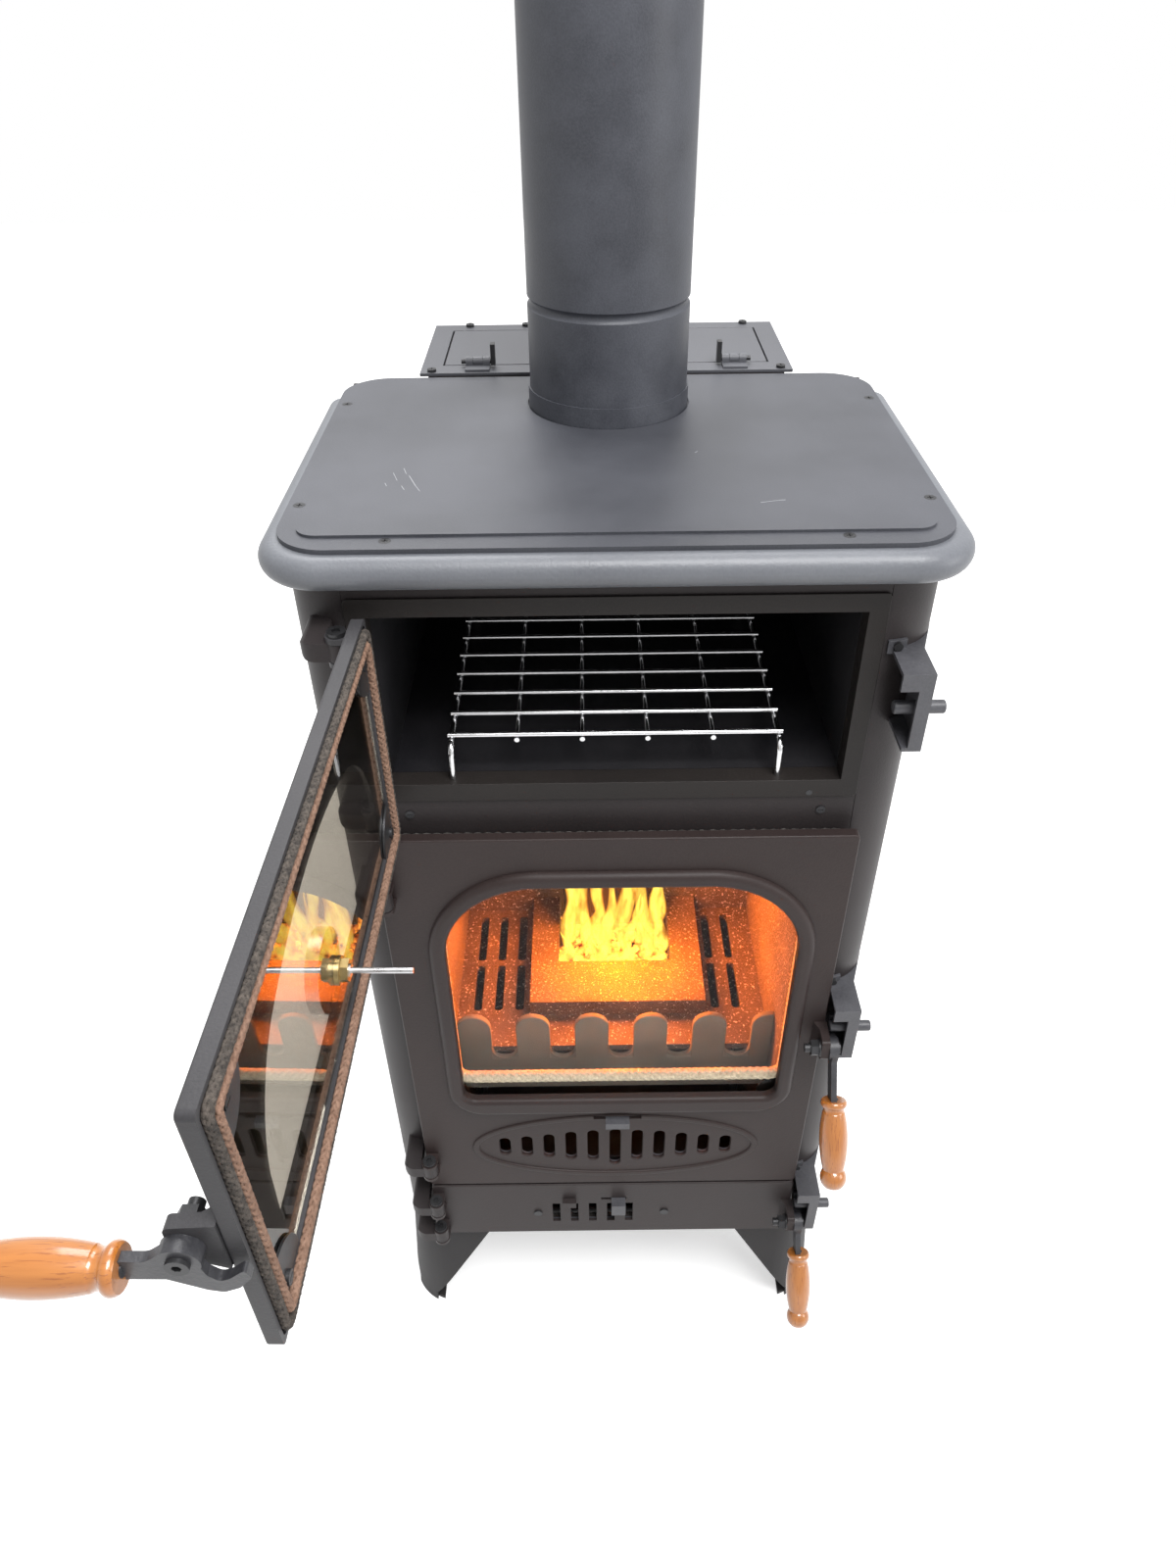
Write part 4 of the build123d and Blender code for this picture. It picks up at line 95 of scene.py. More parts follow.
def noise(tree, vector, scale, detail=3.0, roughness=0.55):
    """A noise over the surface; its scale is a number or another node's value."""
    texture = tree.nodes.new("ShaderNodeTexNoise")
    texture.inputs["Detail"].default_value = detail
    texture.inputs["Roughness"].default_value = roughness
    tree.links.new(vector, texture.inputs["Vector"])
    if isinstance(scale, (int, float)):
        texture.inputs["Scale"].default_value = scale
    else:
        tree.links.new(scale, texture.inputs["Scale"])
    return texture.outputs["Fac"]


def spread(tree, value, low, high, to_low=0.0, to_high=1.0):
    """Map one range of a value to another, such as the middle of a noise to its whole."""
    node = tree.nodes.new("ShaderNodeMapRange")
    tree.links.new(value, node.inputs["Value"])
    node.inputs["From Min"].default_value = low
    node.inputs["From Max"].default_value = high
    for label, bound in (("To Min", to_low), ("To Max", to_high)):
        if isinstance(bound, (int, float)):
            node.inputs[label].default_value = bound
        else:
            tree.links.new(bound, node.inputs[label])
    return node.outputs["Result"]


def blend_colours(tree, factor, first, second):
    """Go from the first colour to the second as the factor rises."""
    node = tree.nodes.new("ShaderNodeMix")
    node.data_type = "RGBA"
    for source, target in ((factor, node.inputs[0]), (first, node.inputs[6]), (second, node.inputs[7])):
        if isinstance(source, bpy.types.NodeSocket):
            tree.links.new(source, target)
        else:
            target.default_value = source
    return node.outputs[2]


def arithmetic(tree, operation, first, second):
    """One sum on two values, each a number or another node's value."""
    node = tree.nodes.new("ShaderNodeMath")
    node.operation = operation
    for source, target in ((first, node.inputs[0]), (second, node.inputs[1])):
        if isinstance(source, bpy.types.NodeSocket):
            tree.links.new(source, target)
        else:
            target.default_value = source
    return node.outputs[0]


paint_group, enter, leave = node_group(
    "paint_surface",
    [
        ("Vector", "NodeSocketVector", None),
        ("Dark", "NodeSocketColor", (0.02, 0.02, 0.02, 1.0)),
        ("Light", "NodeSocketColor", (0.03, 0.03, 0.03, 1.0)),
        ("Patch Scale", "NodeSocketFloat", 9.0),
        ("Grain Scale", "NodeSocketFloat", 700.0),
        ("Smoothest", "NodeSocketFloat", 0.4),
        ("Roughest", "NodeSocketFloat", 0.55),
    ],
    [("Color", "NodeSocketColor"), ("Roughness", "NodeSocketFloat"), ("Height", "NodeSocketFloat")],
)
patches = spread(paint_group, noise(paint_group, enter["Vector"], enter["Patch Scale"], 4.0), 0.35, 0.65)
grain = noise(paint_group, enter["Vector"], enter["Grain Scale"], 2.0)
specks = spread(paint_group, grain, 0.3, 0.7)
patch_share = 0.65
broad = arithmetic(paint_group, "MULTIPLY", patches, patch_share)
fine = arithmetic(paint_group, "MULTIPLY", specks, 1.0 - patch_share)
shade = arithmetic(paint_group, "ADD", broad, fine)
colour = blend_colours(paint_group, shade, enter["Dark"], enter["Light"])
paint_group.links.new(colour, leave["Color"])
rough = spread(paint_group, shade, 0.0, 1.0, enter["Smoothest"], enter["Roughest"])
paint_group.links.new(rough, leave["Roughness"])
paint_group.links.new(grain, leave["Height"])


def base_material(name):
    """A new material, with its tree, its shader and the object's own coordinates."""
    material = bpy.data.materials.new(name)
    material.use_nodes = True
    tree = material.node_tree
    shader = tree.nodes["Principled BSDF"]
    place = tree.nodes.new("ShaderNodeTexCoord").outputs["Object"]
    return material, tree, shader, place


def coat_of_paint(tree, place, shader, dark, light, rough, patch, grain):
    """Put the shared paint surface in a material, feed its gloss in, and return its outputs."""
    surface = tree.nodes.new("ShaderNodeGroup")
    surface.node_tree = paint_group
    tree.links.new(place, surface.inputs["Vector"])
    surface.inputs["Dark"].default_value = (*dark, 1.0)
    surface.inputs["Light"].default_value = (*light, 1.0)
    surface.inputs["Patch Scale"].default_value = patch
    surface.inputs["Grain Scale"].default_value = grain
    surface.inputs["Smoothest"].default_value = rough[0]
    surface.inputs["Roughest"].default_value = rough[1]
    tree.links.new(surface.outputs["Roughness"], shader.inputs["Roughness"])
    return surface.outputs


def bump(tree, shader, height, distance):
    """Roughen the surface by a height of at most this distance."""
    node = tree.nodes.new("ShaderNodeBump")
    node.inputs["Distance"].default_value = distance
    tree.links.new(height, node.inputs["Height"])
    tree.links.new(node.outputs["Normal"], shader.inputs["Normal"])


def painted(name, dark, light, rough, patch=9.0, grain=700.0, depth=0.00012, metallic=0.0, gloss=0.5):
    """Paint or bare metal whose shade, gloss and grain change over the surface."""
    material, tree, shader, place = base_material(name)
    surface = coat_of_paint(tree, place, shader, dark, light, rough, patch, grain)
    tree.links.new(surface["Color"], shader.inputs["Base Color"])
    shader.inputs["Metallic"].default_value = metallic
    shader.inputs["Specular IOR Level"].default_value = gloss
    bump(tree, shader, surface["Height"], depth)
    return material


body_of_node = {}
for body_name, members in frame["record"]["behaviour"]["bodies"].items():
    for member in members:
        body_of_node[member] = body_name


def finish(material, *names):
    """Give CAD pieces that keep their own mesh their finish."""
    for name in names:
        for material_slot in nodes[name].material_slots:
            material_slot.material = material


def mesh_from(shape, name):
    """Turn a bmesh into a mesh, and free the bmesh."""
    mesh = bpy.data.meshes.new(name)
    shape.to_mesh(mesh)
    shape.free()
    return mesh


def smooth_shaded(mesh, angle=32.0):
    """Shade a mesh smooth, apart from edges sharper than this many degrees."""
    mesh.shade_smooth()
    mesh.set_sharp_from_angle(angle=math.radians(angle))


def add_piece(mesh, name, body, material):
    """Put a visible piece in the scene, riding on a body of the frame."""
    piece = bpy.data.objects.new(name, mesh)
    scene.collection.objects.link(piece)
    mesh.materials.clear()
    mesh.materials.append(material)
    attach(piece, body)
    return piece


def eased(material, width, *names):
    """Stand in for CAD pieces with merged copies whose sharp edges are slightly rounded."""
    same_place = 0.000004
    nearly_flat = math.radians(0.6)
    sharp_from = math.radians(35.0)
    for name in names:
        shape = bmesh.new()
        shape.from_mesh(nodes[name].data)
        bmesh.ops.remove_doubles(shape, verts=shape.verts, dist=same_place)
        bmesh.ops.dissolve_limit(shape, angle_limit=nearly_flat, verts=shape.verts, edges=shape.edges)
        sharp = [edge for edge in shape.edges if edge.calc_face_angle(0.0) > sharp_from]
        bmesh.ops.bevel(
            shape,
            geom=sharp,
            offset=width,
            offset_type="OFFSET",
            segments=2,
            profile=0.5,
            affect="EDGES",
            material=-1,
            clamp_overlap=True,
        )
        mesh = mesh_from(shape, name + "_eased")
        smooth_shaded(mesh, 50.0)
        piece = add_piece(mesh, name + "_eased", body_of_node[name], material)
        even = piece.modifiers.new("even", "WEIGHTED_NORMAL")
        even.keep_sharp = True
        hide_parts(name)


satin = 0.22
sheet_edge = 0.0006
casing_paint = painted(
    "casing_paint",
    dark=(0.025, 0.021, 0.0215),
    light=(0.037, 0.031, 0.0315),
    rough=(0.42, 0.52),
    gloss=satin,
)
eased(casing_paint, sheet_edge, "left_side_panel", "right_side_panel", "front_panel", "rear_panel")
finish(casing_paint, "base_panel")


# The legs: angle plates that follow the casing's corners, each with a foot plate.
# They have the casing's paint, a little duller.
leg_paint = painted(
    "leg_paint",
    dark=(0.024, 0.022, 0.023),
    light=(0.034, 0.032, 0.033),
    rough=(0.5, 0.6),
    gloss=satin,
)
eased(leg_paint, sheet_edge, "legs")


# The foot plugs: soft rubber, pressed into the four foot holes from above.
# They stay there until the stove is bolted down.
plug_rubber = painted(
    "plug_rubber",
    dark=(0.012, 0.012, 0.013),
    light=(0.022, 0.022, 0.024),
    rough=(0.6, 0.75),
    patch=60.0,
    grain=900.0,
)
foot_hole_x = 0.216
foot_hole_y = 0.152
plug_taper = 0.9
# Radius, lower end and upper end
plug_stem = (0.0044, 0.0005, 0.005)
plug_head = (0.0085, 0.005, 0.0078)
plugs = bmesh.new()
for x in (-foot_hole_x, foot_hole_x):
    for y in (-foot_hole_y, foot_hole_y):
        for radius, low, high in (plug_stem, plug_head):
            middle = Matrix.Translation((x, y, (low + high) / 2.0))
            bmesh.ops.create_cone(
                plugs,
                cap_ends=True,
                segments=32,
                radius1=radius,
                radius2=radius * plug_taper,
                depth=high - low,
                matrix=middle,
            )
mesh = mesh_from(plugs, "foot_plugs")
smooth_shaded(mesh)
add_piece(mesh, "foot_plugs", "stove", plug_rubber)


# The hob: a round-nosed steel rim and a thick plate with a raised panel.
# The plate is greyer than the casing from use, with faint smears and small scratches.
hob_paint, hob_tree, hob_shader, place = base_material("hob_paint")
hob_dark = (0.031, 0.033, 0.04)
hob_light = (0.078, 0.081, 0.095)
thick_edge = 0.0007
surface = coat_of_paint(hob_tree, place, hob_shader, hob_dark, hob_light, (0.4, 0.52), 6.0, 900.0)
stretch = hob_tree.nodes.new("ShaderNodeMapping")
stretch.inputs["Rotation"].default_value = (0.0, 0.0, math.radians(28.0))
stretch.inputs["Scale"].default_value = (60.0, 900.0, 60.0)
hob_tree.links.new(place, stretch.inputs["Vector"])
scratches = spread(hob_tree, noise(hob_tree, stretch.outputs["Vector"], 1.0, 2.0), 0.74, 0.8)
wear = noise(hob_tree, place, 7.0, 3.0)
scratches = arithmetic(hob_tree, "MULTIPLY", scratches, spread(hob_tree, wear, 0.55, 0.65))
colour = blend_colours(hob_tree, scratches, surface["Color"], (0.26, 0.26, 0.27, 1.0))
hob_tree.links.new(colour, hob_shader.inputs["Base Color"])
bump(hob_tree, hob_shader, surface["Height"], 0.0001)
eased(hob_paint, thick_edge, "hob_plate")
# The rim is painted much lighter than the casing: a painted highlight for the light on its rounded nose.
rim_painted_highlight = painted(
    "rim_painted_highlight",
    dark=(0.12, 0.126, 0.142),
    light=(0.165, 0.173, 0.19),
    rough=(0.36, 0.46),
    patch=7.0,
    grain=500.0,
    depth=0.0002,
)
finish(rim_painted_highlight, "hob_rim")
worn = painted(
    "worn_through",
    dark=(0.3, 0.3, 0.32),
    light=(0.42, 0.42, 0.44),
    rough=(0.3, 0.45),
    patch=90.0,
    grain=900.0,
    depth=0.00003,
    metallic=0.8,
)
hob_top = 1.0
mark_thickness = 0.00008
marks = bmesh.new()
# Place, length, width and angle of each mark on the raised panel
for x, y, length, width, angle in (
    (-0.1455, -0.068, 0.020, 0.0005, 1.92),
    (-0.1400, -0.082, 0.009, 0.0004, 1.98),
    (-0.1530, -0.050, 0.011, 0.0004, 1.86),
    (-0.1590, -0.060, 0.015, 0.0004, 1.88),
    (-0.1510, -0.080, 0.008, 0.0004, 1.95),
    (-0.1640, -0.074, 0.006, 0.0004, 1.90),
    (0.1070, -0.111, 0.013, 0.0006, 0.25),
    (0.1160, -0.109, 0.005, 0.0007, 0.1),
    (0.0640, -0.020, 0.004, 0.0006, 0.9),
):
    spot = Matrix.Translation((x, y, hob_top)) @ Matrix.Rotation(angle, 4, "Z")
    size = Matrix.Diagonal((length, width, mark_thickness, 1.0))
    bmesh.ops.create_cube(marks, size=1.0, matrix=spot @ size)
mesh = mesh_from(marks, "hob_scratches")
add_piece(mesh, "hob_scratches", "stove", worn)
blackened_steel = painted(
    "blackened_steel",
    dark=(0.03, 0.03, 0.032),
    light=(0.055, 0.055, 0.058),
    rough=(0.35, 0.5),
    patch=60.0,
    grain=1200.0,
    depth=0.00005,
    metallic=0.6,
)
finish(blackened_steel, "hob_screws")


# The flue: a spun collar on the hob and a steel pipe with one pressed bead.
# Its heat-resistant paint is duller and a little bluer than the casing's.
flue_paint = painted(
    "flue_paint",
    dark=(0.03, 0.032, 0.041),
    light=(0.075, 0.079, 0.094),
    rough=(0.4, 0.58),
    patch=20.0,
)
finish(flue_paint, "flue_collar", "flue_pipe")


# The oven: a raised frame round its mouth and a sheet box behind it.
# The box is blackened by use, and a chromed wire stand waits in it.
# The frame is painted darker than the casing: painted shade from the hob above it.
frame_painted_shade = painted(
    "frame_painted_shade",
    dark=(0.013, 0.011, 0.0105),
    light=(0.022, 0.0185, 0.017),
    rough=(0.42, 0.52),
    gloss=satin,
)
oven_black = painted(
    "oven_black",
    dark=(0.007, 0.007, 0.009),
    light=(0.013, 0.012, 0.014),
    rough=(0.42, 0.6),
    patch=14.0,
)
eased(frame_painted_shade, sheet_edge, "oven_frame")
finish(oven_black, "oven_liner")
chrome = painted(
    "chrome_wire",
    dark=(0.55, 0.55, 0.56),
    light=(0.68, 0.68, 0.69),
    rough=(0.14, 0.24),
    patch=40.0,
    grain=900.0,
    depth=0.00002,
    metallic=1.0,
)
finish(chrome, "oven_rack")


# The fire chamber: cast cheeks and back, a slotted grate, a burner block and a guard comb.
# The castings are sooty, and grey ash lies on the grate near the burner.
soot, soot_tree, soot_shader, place = base_material("sooty_casting")
soot_dark = (0.075, 0.06, 0.05)
soot_light = (0.15, 0.12, 0.1)
burnt_edge = 0.0012
surface = coat_of_paint(soot_tree, place, soot_shader, soot_dark, soot_light, (0.7, 0.9), 22.0, 420.0)
dust = spread(soot_tree, noise(soot_tree, place, 420.0, 2.0), 0.62, 0.7)
colour = blend_colours(soot_tree, dust, surface["Color"], (0.75, 0.66, 0.56, 1.0))
soot_tree.links.new(colour, soot_shader.inputs["Base Color"])
bump(soot_tree, soot_shader, surface["Height"], 0.0004)
finish(soot, "firebox_liner", "smoke_baffle", "burner")
eased(soot, burnt_edge, "fire_grate")
ash_grey = painted(
    "ash_grey",
    dark=(0.16, 0.155, 0.125),
    light=(0.24, 0.23, 0.19),
    rough=(0.8, 0.95),
    patch=20.0,
    grain=500.0,
)
eased(ash_grey, burnt_edge, "guard_comb")
# Cast fillets round the foot of each gap in the comb, with a strip that sinks into its body
gap_count = 5
gap_pitch = 0.0588
gap_radius = 0.0124
comb_middle = 0.009
comb_front = -0.1245
fillet_depth = 0.005
valley_z = 0.408
sunk_z = valley_z - 0.001
fillets = bmesh.new()
for i in range(gap_count):
    middle = comb_middle + (i - gap_count // 2) * gap_pitch
    rim = [(middle - gap_radius, sunk_z), (middle + gap_radius, sunk_z)]
    for turn_step in range(13):
        angle = math.radians(-15.0 * turn_step)
        spot = (middle + gap_radius * math.cos(angle), valley_z + gap_radius * (1.0 + math.sin(angle)))
        rim.append(spot)
    points = [fillets.verts.new((x, comb_front, z)) for x, z in rim]
    face = fillets.faces.new(points)
    grown = bmesh.ops.extrude_face_region(fillets, geom=[face])["geom"]
    moved = [item for item in grown if isinstance(item, bmesh.types.BMVert)]
    bmesh.ops.translate(fillets, verts=moved, vec=(0.0, fillet_depth, 0.0))
bmesh.ops.recalc_face_normals(fillets, faces=fillets.faces)
mesh = mesh_from(fillets, "comb_fillets")
smooth_shaded(mesh)
add_piece(mesh, "comb_fillets", "stove", ash_grey)
finish(blackened_steel, "ash_pan")
finish(casing_paint, "ash_runners")


# The fire: pressed sawdust pellets that glow in the pot, with ash flakes on the burner round it.
# The flames are thin yellow tongues in three rows, the tallest at the back.
def stick_heap(name, count, low, high, radius, length, seed):
    """Short round sticks that lie at random in a box."""
    chance = random.Random(seed)
    heap = bmesh.new()
    for _ in range(count):
        middle = Vector([chance.uniform(low[i], high[i]) for i in range(3)])
        turn_z = Matrix.Rotation(chance.uniform(0.0, math.tau), 4, "Z")
        tip = Matrix.Rotation(math.radians(90.0) + chance.uniform(-0.5, 0.5), 4, "X")
        bmesh.ops.create_cone(
            heap,
            cap_ends=True,
            segments=8,
            radius1=radius,
            radius2=radius,
            depth=length * chance.uniform(0.6, 1.3),
            matrix=Matrix.Translation(middle) @ turn_z @ tip,
        )
    mesh = mesh_from(heap, name)
    smooth_shaded(mesh)
    return mesh


embers, tree, shader, place = base_material("embers")
heat = spread(tree, noise(tree, place, 90.0, 3.0), 0.35, 0.65)
colour = blend_colours(tree, heat, (0.5, 0.03, 0.001, 1.0), (1.0, 0.4, 0.05, 1.0))
tree.links.new(colour, shader.inputs["Emission Color"])
glow = spread(tree, heat, 0.0, 1.0, to_low=0.4, to_high=4.0)
tree.links.new(glow, shader.inputs["Emission Strength"])
colour = blend_colours(tree, heat, (0.05, 0.04, 0.04, 1.0), (0.3, 0.2, 0.15, 1.0))
tree.links.new(colour, shader.inputs["Base Color"])
shader.inputs["Roughness"].default_value = 0.9
pellet_radius = 0.003
pot_low = (-0.05, -0.018, 0.406)
pot_high = (0.061, 0.068, 0.428)
glowing = stick_heap("glowing_pellets", 220, pot_low, pot_high, pellet_radius, 0.012, seed=4)
add_piece(glowing, "glowing_pellets", "stove", embers)

flake_grey = painted(
    "flake_grey",
    dark=(0.3, 0.24, 0.18),
    light=(0.66, 0.55, 0.42),
    rough=(0.8, 0.95),
    patch=300.0,
    grain=900.0,
)
burner_low = (-0.083, -0.078, 0.4402)
burner_high = (0.097, -0.026, 0.4406)
flakes = stick_heap("ash_flakes", 420, burner_low, burner_high, 0.0005, 0.0011, seed=7)
add_piece(flakes, "ash_flakes", "stove", flake_grey)

# Depth, number of flames, lowest, highest and thickness of each row
front_row = (-0.013, 9, 0.030, 0.060, 0.0105)
middle_row = (0.001, 7, 0.080, 0.150, 0.0095)
back_row = (0.018, 6, 0.150, 0.235, 0.0110)
flame_left = -0.047
flame_reach = 0.104
flame_foot = 0.424
flame_seed = 1795602375
tongues = bmesh.new()
draw = random.Random(21)
# The wrinkles' noise has a seed of its own; without one each run would give other flames
cloud.seed_set(flame_seed)
# Each flame is a ball drawn out upwards, which narrows, sways and wrinkles as it rises
for y, count, low, high, thick in (front_row, middle_row, back_row):
    for i in range(count):
        x = flame_left + flame_reach * (i + draw.uniform(0.25, 0.75)) / count
        height = draw.uniform(low, high)
        radius = thick * draw.uniform(0.75, 1.15)
        phase = draw.uniform(0.0, math.tau)
        lean = draw.uniform(-0.004, 0.004)
        ball = bmesh.ops.create_uvsphere(tongues, u_segments=18, v_segments=30, radius=1.0)
        for vertex in ball["verts"]:
            rise = (vertex.co.z + 1.0) / 2.0
            wide = radius * (1.15 - rise) * (1.0 + 0.25 * math.sin(11.0 * rise + phase))
            side = lean * rise * rise * 3.0 + 0.005 * math.sin(7.0 * rise + phase)
            vertex.co = Vector(
                (
                    x + side + vertex.co.x * wide,
                    y + draw.uniform(-0.0002, 0.0002) + vertex.co.y * wide * 0.8,
                    flame_foot + height * rise**1.3,
                )
            )
            vertex.co += 0.006 * rise * cloud.noise_vector(vertex.co * 38.0)
mesh = mesh_from(tongues, "flames")
mesh.shade_smooth()
flame, tree, shader, place = base_material("flame")
facing = tree.nodes.new("ShaderNodeLayerWeight")
facing.inputs["Blend"].default_value = 0.5
core = arithmetic(tree, "SUBTRACT", 1.0, facing.outputs["Facing"])
drawn_out = tree.nodes.new("ShaderNodeMapping")
drawn_out.inputs["Scale"].default_value = (1.0, 1.0, 0.3)
tree.links.new(place, drawn_out.inputs["Vector"])
flicker = spread(tree, noise(tree, drawn_out.outputs["Vector"], 110.0, 3.0), 0.3, 0.65)
streaks = spread(tree, flicker, 0.0, 1.0, to_low=0.3, to_high=1.15)
core = arithmetic(tree, "MULTIPLY", core, streaks)
split = tree.nodes.new("ShaderNodeSeparateXYZ")
tree.links.new(place, split.inputs["Vector"])
fade = spread(tree, split.outputs["Z"], 0.44, 0.64, to_low=1.0, to_high=0.45)
colour = blend_colours(tree, spread(tree, core, 0.1, 0.7), (0.8, 0.17, 0.0, 1.0), (1.0, 0.78, 0.1, 1.0))
tree.links.new(colour, shader.inputs["Emission Color"])
shader.inputs["Emission Strength"].default_value = 2.2
density = spread(tree, core, 0.03, 0.75, to_low=0.0, to_high=0.6)
alpha = arithmetic(tree, "MULTIPLY", density, fade)
tree.links.new(alpha, shader.inputs["Alpha"])
shader.inputs["Base Color"].default_value = (0.0, 0.0, 0.0, 1.0)
shader.inputs["Roughness"].default_value = 1.0
shader.inputs["Specular IOR Level"].default_value = 0.0
add_piece(mesh, "flames", "stove", flame)

# The fire's own light: one lamp just over the pot and one higher up, neither seen itself
flame_orange = (1.0, 0.19, 0.006)
for lamp_name, place, power in (
    ("fire_glow", (0.008, -0.022, 0.5), 6.5),
    ("flame_glow", (0.008, 0.01, 0.62), 4.5),
):
    lamp_data = bpy.data.lights.new(lamp_name, "POINT")
    lamp_data.shadow_soft_size = 0.035
    lamp_data.color = flame_orange
    lamp_data.energy = power
    lamp = bpy.data.objects.new(lamp_name, lamp_data)
    scene.collection.objects.link(lamp)
    lamp.location = place
    lamp.visible_camera = False
    lamp.visible_glossy = False
    lamp.visible_transmission = False


# The pellet bin: a folded bin on two stays, with a top frame, a flush lid and loose-pin hinges.
# It is full of pellets, and a sloping chute leads from it to the burner.
finish(casing_paint, "hopper_box", "hopper_stays", "pellet_chute")
pellet_wood = painted(
    "pellet_wood",
    dark=(0.3, 0.19, 0.1),
    light=(0.46, 0.32, 0.18),
    rough=(0.7, 0.9),
    patch=120.0,
    grain=900.0,
)
bed_place = Matrix.Translation((0.0, 0.245, 0.85))
bed_size = Matrix.Diagonal((0.308, 0.13, 0.16, 1.0))
bed = bmesh.new()
bmesh.ops.create_cube(bed, size=1.0, matrix=bed_place @ bed_size)
mesh = mesh_from(bed, "pellet_bed")
add_piece(mesh, "pellet_bed", "stove", pellet_wood)
bed_low = (-0.148, 0.186, 0.926)
bed_high = (0.148, 0.304, 0.942)
loose = stick_heap("loose_pellets", 1500, bed_low, bed_high, pellet_radius, 0.015, seed=9)
add_piece(loose, "loose_pellets", "stove", pellet_wood)
lid_edge = 0.0005
bin_paint = painted(
    "bin_paint",
    dark=(0.07, 0.072, 0.082),
    light=(0.09, 0.092, 0.104),
    rough=(0.42, 0.52),
    patch=8.0,
)
eased(bin_paint, lid_edge, "hopper_top", "hopper_lid")
finish(bin_paint, "lid_fixed_leaves", "lid_moving_leaves")
finish(blackened_steel, "lid_hinge_pins", "casing_screws")
tape, tape_tree, tape_shader, place = base_material("woven_tape")
weave = tape_tree.nodes.new("ShaderNodeTexWave")
weave.inputs["Scale"].default_value = 300.0
tape_tree.links.new(place, weave.inputs["Vector"])
colour = blend_colours(tape_tree, weave.outputs["Fac"], (0.2, 0.19, 0.17, 1.0), (0.32, 0.3, 0.27, 1.0))
tape_tree.links.new(colour, tape_shader.inputs["Base Color"])
tape_shader.inputs["Roughness"].default_value = 0.95
bump(tape_tree, tape_shader, weave.outputs["Fac"], 0.0003)
finish(tape, "hopper_gasket")


# The hinge lugs and the keepers: bent and cast steel, bolted or welded to the columns.
# They are rougher and a little bluer than the casing, and painted lighter: painted light from above on
# their tops.
hook_edge = 0.0008
keeper_painted_light = painted(
    "keeper_painted_light",
    dark=(0.052, 0.052, 0.059),
    light=(0.09, 0.09, 0.1),
    rough=(0.36, 0.5),
    patch=40.0,
    grain=420.0,
    depth=0.0002,
)
eased(keeper_painted_light, hook_edge, "keepers")
eased(casing_paint, sheet_edge, "hinge_lugs")
finish(blackened_steel, "hinge_bolts")
finish(keeper_painted_light, "keeper_pins")


# The doors: grey-iron castings with a rolled edge, painted like the casing.
# The fire door's paint is slightly redder than the other doors', a painted warm glow from the fire, and
# the oven door's has faded.
door_rough = (0.4, 0.52)
door_paint = painted(
    "door_paint",
    dark=(0.029, 0.0225, 0.0225),
    light=(0.043, 0.0345, 0.034),
    rough=door_rough,
    patch=11.0,
    grain=560.0,
    gloss=satin,
)
# The fire door's redder paint is a painted warm glow from the fire.
fire_paint_warm_glow = painted(
    "fire_paint_warm_glow",
    dark=(0.027, 0.0185, 0.0178),
    light=(0.039, 0.028, 0.0265),
    rough=door_rough,
    patch=8.0,
    grain=560.0,
    gloss=satin,
)
oven_paint = painted(
    "oven_paint",
    dark=(0.042, 0.041, 0.044),
    light=(0.066, 0.064, 0.068),
    rough=door_rough,
    patch=11.0,
    grain=560.0,
    gloss=satin,
)
eased(door_paint, thick_edge, "ash_door")
eased(oven_paint, thick_edge, "oven_door")
eased(fire_paint_warm_glow, thick_edge, "fire_door")
finish(blackened_steel, "oven_glass_clips", "fire_glass_clips", "ash_rivets")
# The air sliders share the keepers' lighter paint, with its painted light from above.
finish(keeper_painted_light, "fire_air_slider", "ash_air_slider")


# The levers: flat hooks with a boss, on button-head bolts.
# They are rough castings.
lever_paint = painted(
    "lever_paint",
    dark=(0.026, 0.026, 0.03),
    light=(0.048, 0.048, 0.054),
    rough=(0.34, 0.5),
    patch=50.0,
    grain=420.0,
    depth=0.0002,
)
eased(lever_paint, hook_edge, "oven_lever", "fire_lever", "ash_lever")
finish(blackened_steel, "oven_lever_bolt", "fire_lever_bolt", "ash_lever_bolt")


# The handles: turned beech under a thick orange lacquer.
# The grain runs along the handle, with short dark pores.
def lacquered(name, tilt):
    """Wood whose grain follows a handle; the tilt turns the pattern to the handle's axis."""
    material, tree, shader, place = base_material(name)
    turn_grain = tree.nodes.new("ShaderNodeMapping")
    turn_grain.inputs["Rotation"].default_value = tilt
    tree.links.new(place, turn_grain.inputs["Vector"])
    along = tree.nodes.new("ShaderNodeMapping")
    along.inputs["Scale"].default_value = (1.0, 0.06, 1.0)
    tree.links.new(turn_grain.outputs["Vector"], along.inputs["Vector"])
    rings = spread(tree, noise(tree, along.outputs["Vector"], 170.0, 4.0), 0.3, 0.7)
    pores = spread(tree, noise(tree, along.outputs["Vector"], 900.0, 2.0), 0.58, 0.7)
    colour = blend_colours(tree, rings, (0.4, 0.13, 0.018, 1.0), (0.52, 0.19, 0.035, 1.0))
    colour = blend_colours(tree, pores, colour, (0.31, 0.09, 0.012, 1.0))
    tree.links.new(colour, shader.inputs["Base Color"])
    shader.inputs["Roughness"].default_value = 0.35
    shader.inputs["Coat Weight"].default_value = 1.0
    shader.inputs["Coat Roughness"].default_value = 0.12
    bump(tree, shader, pores, 0.00005)
    return material


# At rest the oven door's handle lies along X and the other two hang at 57 degrees
lying = (0.0, 0.0, math.radians(90.0))
hanging = (math.radians(-57.0), 0.0, 0.0)
finish(lacquered("oven_handle_wood", lying), "oven_handle")
finish(lacquered("side_handle_wood", hanging), "fire_handle", "ash_handle")


